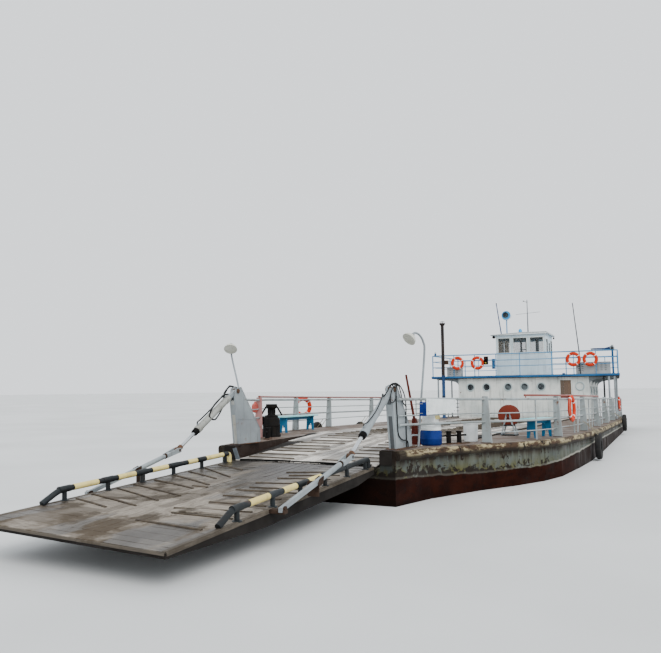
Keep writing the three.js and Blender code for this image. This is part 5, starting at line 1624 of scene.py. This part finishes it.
def foredeck_extras():
    """The leaning pole and a red plate near it, two blank boards on the rail, a pink float and a lever by
    the hinge.
    """
    shape = Shape()
    shape.tube([(-1.75, 2.12, 0.0), (-1.51, 1.915, 1.62)], 0.034, "pole_red", 12, end_radius=0.024)
    shape.prism([
        (1.8, 0.0), (2.02, 0.0), (1.98, 0.3), (1.9, 0.62), (1.84, 0.62)
    ], -2.22, -2.06, "pole_red", "front")
    shape.finish("leaning_pole")

    board = Shape()
    a = (-1.58, rail_y(-1.58, 1) + 0.034)
    b = (-2.51, rail_y(-2.51, 1) + 0.034)
    way = Vector((b[0] - a[0], b[1] - a[1], 0))
    out = Vector((-way.y, way.x, 0)).normalized()
    out = out if out.y > 0 else -out
    corners = [(0.0, 0.71), (1.0, 0.75), (1.0, 1.05), (0.0, 1.08)]
    rings = [
        [ship(a[0] + way.x * share, a[1] + way.y * share, z) + out * t for share, z in corners]
        for t in (0.0, 0.007)
    ]
    board.skin(rings, "clean_white")
    for share in (0.06, 0.94):
        for z in (0.79, 1.02):
            bolt = ship(a[0] + way.x * share, a[1] + way.y * share, z)
            board.rod(bolt - out * 0.02, bolt + out * 0.012, 0.008, "black", 8)
    board.finish("rail_board")

    plate = Shape()
    plate.block((-1.305, 2.3, 0.69), (-1.295, 2.46, 1.0), "plastic_blue", 0.003)
    for z in (0.75, 0.96):
        plate.rod((-1.3, 2.38, z), (-1.3, rail_y(-1.4, 1) - 0.03, z), 0.01, "rail", 8)
    plate.rod((-1.3, rail_y(-1.4, 1) - 0.03, 0.7), (-1.3, rail_y(-1.4, 1) - 0.03, 1.07), 0.014, "rail", 8)
    plate.finish("blue_board")

    float_shape = Shape()
    y = -rail_y(-3.05, -1) - 0.10
    float_shape.turned([
        (0.02, 0.7), (0.06, 0.72), (0.095, 0.79), (0.1, 0.85), (0.085, 0.93), (0.04, 0.975), (0.02, 1.02)
    ], (-3.0, y, 0), "float", 20)
    float_shape.rod((-3.0, y, 1.0), (-3.05, -rail_y(-3.05, -1), RAIL_TOP), 0.01, "rope", 8)
    float_shape.finish("pink_float")

    lever = Shape()
    lever.prism([
        (-1.86, -0.06), (-1.78, -0.04), (-1.66, -0.33), (-1.74, -0.36)
    ], -0.121, -0.075, "mast_grey", "front")
    lever.finish("bow_lever")


# ---- Deckhouse


def frame_round(shape, centre, axis, radius, pane="dark_glass"):
    """A porthole: its raised rim with bolts, and the pane inside."""
    axis, centre = Vector(axis), spot(centre)
    wide, narrow, inner = radius + 0.05, radius - 0.012, radius - 0.002
    profile = [
        (wide, 0.0005), (wide, 0.014), (radius + 0.03, 0.024), (radius + 0.004, 0.024), (narrow, 0.012),
        (narrow, -0.03), (inner, -0.036), (inner, 0.0005)
    ]
    square = square_to(axis)
    shape.skin([
        [centre + out * r + axis * h for r, h in profile] for out in spokes(*square, 36)
    ], "rim", loop=True)
    shape.turned([(radius - 0.004, -0.02), (radius - 0.004, -0.012)], centre, pane, 36, axis=axis)
    for out in spokes(*square, 6):
        bolt = centre + out * (radius + 0.03)
        shape.rod(bolt + axis * 0.018, bolt + axis * 0.03, 0.009, "rim", 6)


def door_handle(shape, x, s, wall, z, reach, radius):
    """A bent bar that stands out from a side door and points forward."""
    out = s * (wall + reach)
    shape.tube(fillet([(x, s * wall, z), (x, out, z), (x + 0.12, out, z)], 0.02), radius, "dark", 8)


def surround(low, high, rim, lap=0.0):
    """Four bars round an opening: uprights, sill and head, each from and to, along and up."""
    (a0, b0), (a1, b1) = low, high
    return (
        (a0 - rim, b0 - rim, a0 + lap, b1 + rim), (a1 - lap, b0 - rim, a1 + rim, b1 + rim),
        (a0, b0 - rim, a1, b0 + lap), (a0, b1 - lap, a1, b1 + rim)
    )


PORTHOLE = 0.19
# The boarded window in the deckhouse's front: y and z from and to
BOARDED = (2.06, 2.61, 1.28, 2.05)


def deckhouse():
    """Portholes, seams, the boarded window and the doors' fittings."""
    shape = Shape()
    for y in (-2.8, -1.9, -0.7, 0.19, 1.07):
        frame_round(shape, (HOUSE_FRONT, y, 1.72), (1, 0, 0), PORTHOLE)
    frame_round(shape, (HOUSE_FRONT, 3.05, 1.72), (1, 0, 0), PORTHOLE, "white")
    for x in (-25.4, -28.3):
        for s in (1, -1):
            frame_round(shape, (x, s * HOUSE_HALF, 1.5), (0, s, 0), PORTHOLE)
    for y in (-2.2, 2.2):
        frame_round(shape, (HOUSE_AFT, y, 1.6), (-1, 0, 0), PORTHOLE)
    front = HOUSE_FRONT
    for y in (-3.1, -2.35, -1.3, -0.25, 0.63, 1.5, 1.9, 2.78, 3.34):
        shape.block((front - 0.002, y - 0.012, 0.02), (front + 0.012, y + 0.012, 2.2), "white", 0.004)
    shape.block((front - 0.002, -3.5, 0.14), (front + 0.014, 3.5, 0.18), "white", 0.004)
    for s in (1, -1):
        for x in (-25.9, -27.6, -28.9):
            shape.block(
                (x - 0.012, s * HOUSE_HALF, 0.02), (x + 0.012, s * (HOUSE_HALF + 0.012), 2.1), "white",
                0.004
            )
    y0, y1, z0, z1 = BOARDED
    rim = 0.035
    shape.block((front - 0.002, y0 + 0.02, z0 - 0.19), (front + 0.14, y1 - 0.03, z0 - rim), "red", 0.01)
    for l0, m0, l1, m1 in surround((y0, z0), (y1, z1), rim):
        shape.block((front - 0.03, l0, m0), (front + 0.02, l1, m1), "white", 0.004)
    shape.finish("deckhouse_trim")

    panel = Shape()
    on_front = lambda a, b, h: ship(front - 0.02 + h, b, a)
    for k in range(3):
        y = y0 + (k + 0.5) * (y1 - y0) / 3
        panel.plank((z0, y), (z1, y), (y1 - y0) / 3 - 0.003, 0.012, "panel_wood", on_front)
    panel.finish("boarded_window")

    for side, s in PORT_AND_STARBOARD:
        door = Shape()
        middle = (-27.3 - 26.6) / 2
        frame_round(door, (middle, s * HOUSE_HALF, 1.5), (0, s, 0), PORTHOLE)
        door_handle(door, -27.2, s, HOUSE_HALF, 1.05, 0.05, 0.01)
        door.finish("deckhouse_door_fittings_" + side, body=f"deckhouse_door_{side}_body")


DAVIT = (-24.62, 4.7)
# Pillars under the bridge deck's wings: x, y, paint
PILLARS = (
    (-24.33, 4.76, "grey"), (-24.33, 4.49, "grey"), (-24.33, 4.25, "dark"), (-24.33, -4.66, "grey"),
    (-27.0, 4.66, "grey"), (-27.0, -4.66, "grey"), (-29.7, 4.5, "grey"), (-29.7, -4.5, "grey")
)


def bridge_structure():
    """The bridge deck's blue edge, its underside in the near-black of painted shade, pillars, brackets
    and the davit's post.
    """
    shape = Shape()
    top, under = BRIDGE_TOP, BRIDGE_UNDER

    def plate(z0, z1, inset, material):
        corners = [
            (x, s * (bridge_half(x) - inset))
            for x, s in ((BRIDGE_AFT, -1), (BRIDGE_FRONT, -1), (BRIDGE_FRONT, 1), (BRIDGE_AFT, 1))
        ]
        corners = [(x + (inset if x == BRIDGE_AFT else -inset), y) for x, y in corners]
        shape.prism(corners, z0, z1, material, "plan")

    plate(under + 0.03, top - 0.012, 0.0, "blue")
    plate(top - 0.012, top, 0.012, "deck_blue")
    # Painted shade under the bridge deck.
    plate(under + 0.001, under + 0.03, 0.03, "under")
    for x, y, paint in PILLARS:
        shape.rod((x, y, 0), (x, y, under + 0.02), 0.045, paint, 16)
        shape.turned([(0.09, 0.0), (0.09, 0.015), (0.05, 0.02)], (x, y, 0), "rust", 16)
    for s in (1, -1):
        for x in (HOUSE_FRONT - 0.1, -26.2, -27.7, -29.2):
            half = bridge_half(x)
            outline = [
                (s * (HOUSE_HALF + 0.001), under + 0.01), (s * (half - 0.15), under + 0.01),
                (s * (half - 0.25), under - 0.06), (s * (HOUSE_HALF + 0.5), under - 0.11),
                (s * (HOUSE_HALF + 0.2), under - 0.18), (s * (HOUSE_HALF + 0.06), under - 0.28),
                (s * (HOUSE_HALF + 0.001), under - 0.4)
            ]
            shape.prism(outline, x - 0.008, x + 0.008, "grey", "front")
    shape.rod(ship(*DAVIT, top), ship(*DAVIT, 3.56), 0.05, "blue", 20)
    shape.turned([(0.09, 0.0), (0.09, 0.02), (0.052, 0.03)], ship(*DAVIT, top), "blue", 20)
    shape.finish("bridge_deck_worn", "bridge_deck")


def davit():
    """The davit's boom, its bulky joint turning on the post."""
    shape = Shape()
    x, y = DAVIT
    shape.turned([
        (0.062, 3.5605), (0.07, 3.575), (0.07, 3.78), (0.062, 3.8), (0.01, 3.8)
    ], (x, y, 0), "navy", 20)
    shape.prism([
        (y + 0.02, 3.605), (y + 0.02, 3.7), (y - 1.05, 3.71), (y - 1.05, 3.63)
    ], x - 0.035, x + 0.035, "navy", "front")
    shape.prism([
        (y, 3.74), (y, 3.8), (y - 0.36, 3.705), (y - 0.38, 3.66)
    ], x - 0.02, x + 0.02, "navy", "front")
    shape.turned([
        (0.03, -0.045), (0.05, -0.04), (0.05, 0.04), (0.03, 0.045)
    ], (x, y - 1.0, 3.66), "grey", 20, axis=(1, 0, 0))
    shape.rod((x, y - 1.0, 3.6), (x, y - 1.0, 3.68), 0.018, "navy", 8)
    shape.finish("davit_worn", "davit_boom", body="davit")


EXHAUST = (-24.03, -4.25, 0)
WING_LAMP = (-24.3, -4.79, 3.58)
SIGNAL_X = -24.2
SIGNAL_Y = -1.835
LOCKER_FACE = -24.42
# Vents in the lockers' fronts: y from and to, and the lowest one's height
VENTS = ((3.85, 4.45, 2.50), (2.98, 3.3, 2.50), (-4.05, -3.45, 2.44))


def bridge_things():
    """Lockers, the exhaust pipe and the small things on the bridge deck."""
    lockers = Shape()
    front = LOCKER_FACE
    for y0, y1, z0 in VENTS:
        columns = 3 if y1 - y0 > 0.4 else 2
        for i in range(columns):
            for k in range(4 if y0 > 0 else 3):
                y = y0 + (i + 0.5) * (y1 - y0) / columns
                z = z0 + 0.1 * k + 0.05
                lockers.block(
                    (front - 0.002, y - 0.05, z - 0.012), (front + 0.004, y + 0.05, z + 0.012), "black",
                    0.002
                )
    for y0, y1, top in ((2.89, 4.56, 2.98), (-4.15, -3.33, 2.86)):
        for y in (y0 + 0.2, y1 - 0.2):
            lockers.block(
                (front + 0.018, y - 0.04, top - 0.08), (front + 0.03, y + 0.04, top - 0.02), "grey", 0.003
            )
    lockers.finish("locker_slots")

    pipe = Shape()
    centre = ship(*EXHAUST)
    pipe.turned([
        (0.18, 0.0), (0.18, 0.03), (0.105, 0.05), (0.092, 0.08), (0.092, 2.34), (0.105, 2.345),
        (0.105, 2.4)
    ], centre, "navy")
    pipe.turned([
        (0.096, 2.4), (0.092, 2.41), (0.09, 5.27), (0.1, 5.285), (0.158, 5.35), (0.165, 5.36),
        (0.165, 5.42), (0.15, 5.425), (0.14, 5.42), (0.12, 5.38), (0.085, 5.36)
    ], centre, "soot")
    pipe.turned([(0.13, 5.5), (0.14, 5.505), (0.06, 5.53), (0.01, 5.54)], centre, "grey", 24)
    for out in spokes(*LEVEL, 4, 0.4):
        pipe.rod(centre + out * 0.12 + UP * 5.4, centre + out * 0.12 + UP * 5.51, 0.009, "grey", 6)
    for z in (1.2, 3.5):
        pipe.turned([(0.091, z), (0.103, z), (0.103, z + 0.05), (0.091, z + 0.05)], centre, "dark", 24)
    pipe.block((-24.3, -4.27, 3.51), (-24.1, -4.23, 3.54), "dark", 0.003)
    pipe.finish("exhaust_worn", "exhaust_pipe")

    gear = Shape()
    gear.block((-24.36, -4.34, 3.05), (-24.16, -4.02, 3.28), "rust", 0.01)
    gear.block((-24.5, -1.53, 2.74), (-24.34, -1.38, 3.30), "blue", 0.01)
    gear.turned([(0.05, 0.0), (0.06, 0.02), (0.06, 0.1), (0.04, 0.13)], WING_LAMP, "blue", 20)
    gear.turned([(0.045, 0.13), (0.05, 0.15), (0.05, 0.21), (0.02, 0.24)], WING_LAMP, "clean_white", 20)
    gear.block((-24.42, 4.62, 3.59), (-24.26, 4.82, 3.73), "grey", 0.02)
    gear.turned(
        [(0.07, 0.0), (0.07, 0.012), (0.05, 0.02)], (-24.26, 4.72, 3.66), "dark", 20, axis=(1, 0, 0)
    )
    gear.turned([(0.05, 0.0), (0.06, 0.03), (0.06, 0.08), (0.02, 0.11)], (-24.34, 4.72, 3.73), "grey", 20)
    gear.block((-24.3, 2.22, 2.361), (-24.2, 2.36, 2.42), "blue", 0.01)
    gear.finish("bridge_gear")

    signal = Shape()
    signal.block((-24.33, -1.95, 2.98), (-24.2, -1.72, 3.44), "black", 0.02)
    for z, lens in ((3.34, "lamp_red"), (3.21, "black"), (3.08, "lamp_yellow")):
        signal.turned([
            (0.055, 0.0), (0.055, 0.05), (0.045, 0.05), (0.045, 0.012)
        ], (SIGNAL_X, SIGNAL_Y, z), "black", 24, axis=(1, 0, 0))
        signal.turned(
            [(0.044, 0.0), (0.04, 0.014), (0.02, 0.022)], (SIGNAL_X, SIGNAL_Y, z), lens, 24,
            axis=(1, 0, 0)
        )
    signal.finish("signal_light")


# ---- Wheelhouse

WINDOW_SILL = 3.62
WINDOW_RIM = 0.028
WINDOW_LAP = 0.012
FRONT_WINDOWS = ((-1.22, -0.56), (-0.38, 0.35), (0.53, 1.24))
SIDE_WINDOWS = ((-25.45, -24.85), (-26.9, -26.45))


def window(shape, low, high, axis, side):
    """A frame round an opening, its pane and a dark lining, on an outer wall's face."""
    out = 1 if (axis == "x" and side > -25) or (axis == "y" and side > 0) else -1

    def put(along, across, up):
        return ship(side + across, along, up) if axis == "x" else ship(along, side + across, up)

    for l0, m0, l1, m1 in surround(low, high, WINDOW_RIM, WINDOW_LAP):
        shape.block((l0, 0, m0), (l1, out * 0.014, m1), "white", 0.004, put)
        start, end = (l0 + 0.004, -out * 0.012, m0 + 0.004), (l1 - 0.004, -out * 0.03, m1 - 0.004)
        shape.block(start, end, "black", 0.002, put)
    start, end = (low[0], -out * 0.016, low[1]), (high[0], -out * 0.022, high[1])
    shape.block(start, end, "glass", 0.001, put)


def roof_top(y):
    """The crowned roof's height at any distance to port or starboard."""
    side = "port" if y > 0 else "starboard"
    out = abs(y) / (CABIN_HALF + ROOF_OVER[side])
    return CABIN_TOP + ROOF_THICK["middle"] + (ROOF_THICK[side] - ROOF_THICK["middle"]) * out


def wheelhouse():
    """The wheelhouse's windows, curtains, seams and door fittings."""
    shape = Shape()
    for y0, y1 in FRONT_WINDOWS:
        window(shape, (y0, WINDOW_SILL), (y1, 4.44), "x", CABIN_FRONT)
    for y in (-1.15, 0.1):
        window(shape, (y, WINDOW_SILL), (y + 1.0, 4.40), "x", CABIN_AFT)
    for x0, x1 in SIDE_WINDOWS:
        for s in (1, -1):
            window(shape, (x0, WINDOW_SILL), (x1, 4.35), "y", s * CABIN_HALF)
    front = CABIN_FRONT
    for z in (2.42, 3.53):
        shape.block(
            (front - 0.002, -CABIN_HALF, z - 0.014), (front + 0.016, CABIN_HALF, z + 0.014), "white",
            0.004
        )
    for y in (-CABIN_HALF + 0.012, -0.47, 0.44, CABIN_HALF - 0.012):
        shape.block((front - 0.002, y - 0.012, 3.545), (front + 0.012, y + 0.012, 4.6), "white", 0.003)
    shape.finish("wheelhouse_windows")

    for side, s in PORT_AND_STARBOARD:
        door = Shape()
        window(door, (-26.19, WINDOW_SILL), (-25.76, 4.18), "y", s * CABIN_HALF)
        door_handle(door, -26.22, s, CABIN_HALF, 3.3, 0.045, 0.009)
        door.finish(
            "wheelhouse_door_fittings_" + side, body=f"wheelhouse_door_{side}_body"
        )

    roof = Shape()
    low_x, high_x = CABIN_AFT - ROOF_OVER["front"], CABIN_FRONT + ROOF_OVER["front"]
    left, right = -CABIN_HALF - ROOF_OVER["starboard"], CABIN_HALF + ROOF_OVER["port"]
    for x, out in ((low_x, -1), (high_x, 1)):
        edge = [(left, 0.012), (0.0, 0.09), (right, 0.08)]
        roof.tube([(x + out * 0.006, y, CABIN_TOP + up) for y, up in edge], 0.012, "grey", 8)
    roof.tube([(low_x, right, CABIN_TOP + 0.03), (high_x, right, CABIN_TOP + 0.03)], 0.016, "grey", 8)
    roof.tube([(low_x, left, CABIN_TOP + 0.016), (high_x, left, CABIN_TOP + 0.016)], 0.014, "grey", 8)
    roof.turned(
        [(0.08, -0.03), (0.08, 0.07), (0.05, 0.09)], (CABIN_FRONT + 0.06, -1.43, 4.52), "black", 24,
        axis=(1, 0, 0)
    )
    roof.rod((CABIN_FRONT + 0.06, -1.43, 4.58), (CABIN_FRONT + 0.06, -1.43, 4.625), 0.012, "black", 8)
    roof.turned(
        [(0.05, -0.02), (0.05, 0.05), (0.03, 0.06)], (CABIN_AFT + 0.03, 1.42, 4.53), "black", 20,
        axis=(0, 1, 0)
    )
    roof.rod((CABIN_AFT + 0.03, 1.44, 4.55), (CABIN_AFT + 0.03, 1.44, 4.625), 0.01, "black", 8)
    roof.turned([
        (0.09, 0.0), (0.09, 0.04), (0.1, 0.1), (0.085, 0.17), (0.045, 0.22), (0.01, 0.235)
    ], (-24.95, -0.03, roof_top(-0.03) - 0.003), "lamp_blue")
    roof.finish("wheelhouse_roof_edge")

    room = Shape()
    inside = CABIN_FRONT - 0.09
    for y, wide in ((-1.17, 0.05), (-1.08, 0.05), (-0.97, 0.03), (-0.80, 0.05), (-0.70, 0.05)):
        folds = [(y + wide * (k / 4 - 1), 0.012 * (k % 2)) for k in range(9)]
        rings = [
            [ship(inside - 0.02 - d, w, z) for w, d in folds] + [
                ship(inside - 0.03 - d, w, z) for w, d in folds[::-1]
            ] for z in (3.45, 3.9, 4.42)
        ]
        room.skin(rings, "curtain")
    for y0, y1 in FRONT_WINDOWS:
        room.block(
            (inside - 0.012, y0 - 0.02, 4.29), (inside - 0.004, y1 + 0.02, 4.46), "curtain_dark", 0.002
        )
    for y0, y1 in ((-0.03, 0.08), (0.80, 0.98)):
        room.block((inside - 0.06, y0, 3.45), (inside - 0.03, y1, 4.40), "curtain_dark", 0.01)
    room.block((CABIN_AFT + 0.3, 0.3, 2.361), (CABIN_AFT + 0.8, 0.8, 2.9), "dark", 0.02)
    room.finish("wheelhouse_room")


MAST = (-25.3, 0.33)
SEARCHLIGHT = (-24.9, -0.755, 5.755)


def roof_things():
    """What stands on the wheelhouse's roof."""
    mast = Shape()
    x, y = MAST
    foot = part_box("mast")[0].z - ORIGIN.z
    mast.turned([(0.09, 0.0), (0.09, 0.02), (0.04, 0.03)], (x, y, foot), "clean_white", 20)
    mast.tube([(x, y, foot + 0.01), (x, y, 6.64)], 0.035, "mast_grey", 12, end_radius=0.018)
    mast.tube([(x, y - 0.64, 5.83), (x, y + 0.68, 5.9)], 0.009, "mast_grey", 8)
    mast.tube([(x, y - 0.2, 6.56), (x, y + 0.02, 6.49)], 0.012, "dark", 8)
    for dy, up in ((-0.2, 6.57), (0.0, 6.50)):
        mast.turned([(0.02, -0.03), (0.035, 0.0), (0.02, 0.03)], (x, y + dy, up), "dark", 14)
    mast.finish("mast_worn", "mast")

    lamp = Shape()
    x, y, z = SEARCHLIGHT
    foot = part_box("searchlight")[0].z - ORIGIN.z
    lamp.rod((x, y, foot), (x, y, 5.5), 0.033, "pale_blue", 12)
    lamp.turned([(0.05, 0.0), (0.05, 0.015), (0.03, 0.02)], (x, y, foot), "pale_blue", 16)
    yoke = []
    for k in range(13):
        turn = math.pi * (1 + k / 12)
        yoke.append(ship(x, y + 0.262 * math.cos(turn), z + 0.262 * math.sin(turn)))
    lamp.tube(yoke, 0.014, "clean_white", 8)
    shell = [
        (0.06, -0.128), (0.12, -0.125), (0.16, -0.09), (0.215, -0.02), (0.243, 0.05), (0.248, 0.1),
        (0.25, 0.11), (0.238, 0.118), (0.228, 0.112), (0.225, 0.1)
    ]
    lamp.turned(shell, (x, y, z), "lamp_blue", 40, axis=(1, 0, 0))
    lamp.turned([
        (0.17, 0.102), (0.162, 0.112), (0.11, 0.118), (0.02, 0.119)
    ], (x, y - 0.035, z + 0.02), "dark_glass", 36, axis=(1, 0, 0))
    lamp.finish("searchlight_worn", "searchlight")

    whips = Shape()
    whips.tube([
        (-25.0, -1.09, roof_top(-1.09) - 0.01), (-25.0, -1.33, 6.46)
    ], 0.036, "navy", 10, end_radius=0.024)
    whips.turned([(0.03, 0.0), (0.035, 0.04), (0.015, 0.08)], (-25.0, -1.33, 6.44), "dark", 14)
    whips.tube([
        (-24.3, 3.12, 2.36), (-24.3, 3.1, 3.5), (-24.3, 2.87, 6.15)
    ], 0.036, "whip_grey", 10, end_radius=0.022)
    whips.finish("whip_antennas")


# ---- The whole ferry

MATERIALS = make_materials()
make_camera()
make_stage()
dress_nodes()
hull_plating()
belt()
ramp_planks()
lane_planks()
hull_details()
kerbs()
ramp_arms()
lifts()
pylons()
hoses()
side_rails()
stern_rail()
bridge_rail()
for number in range(1, 8):
    life_ring(number)
for label in ("port_1", "port_2", "starboard_1", "starboard_2"):
    tyre(label)
capstan()
benches()
deck_things()
reel()
foredeck_extras()
deckhouse()
bridge_structure()
davit()
bridge_things()
wheelhouse()
roof_things()
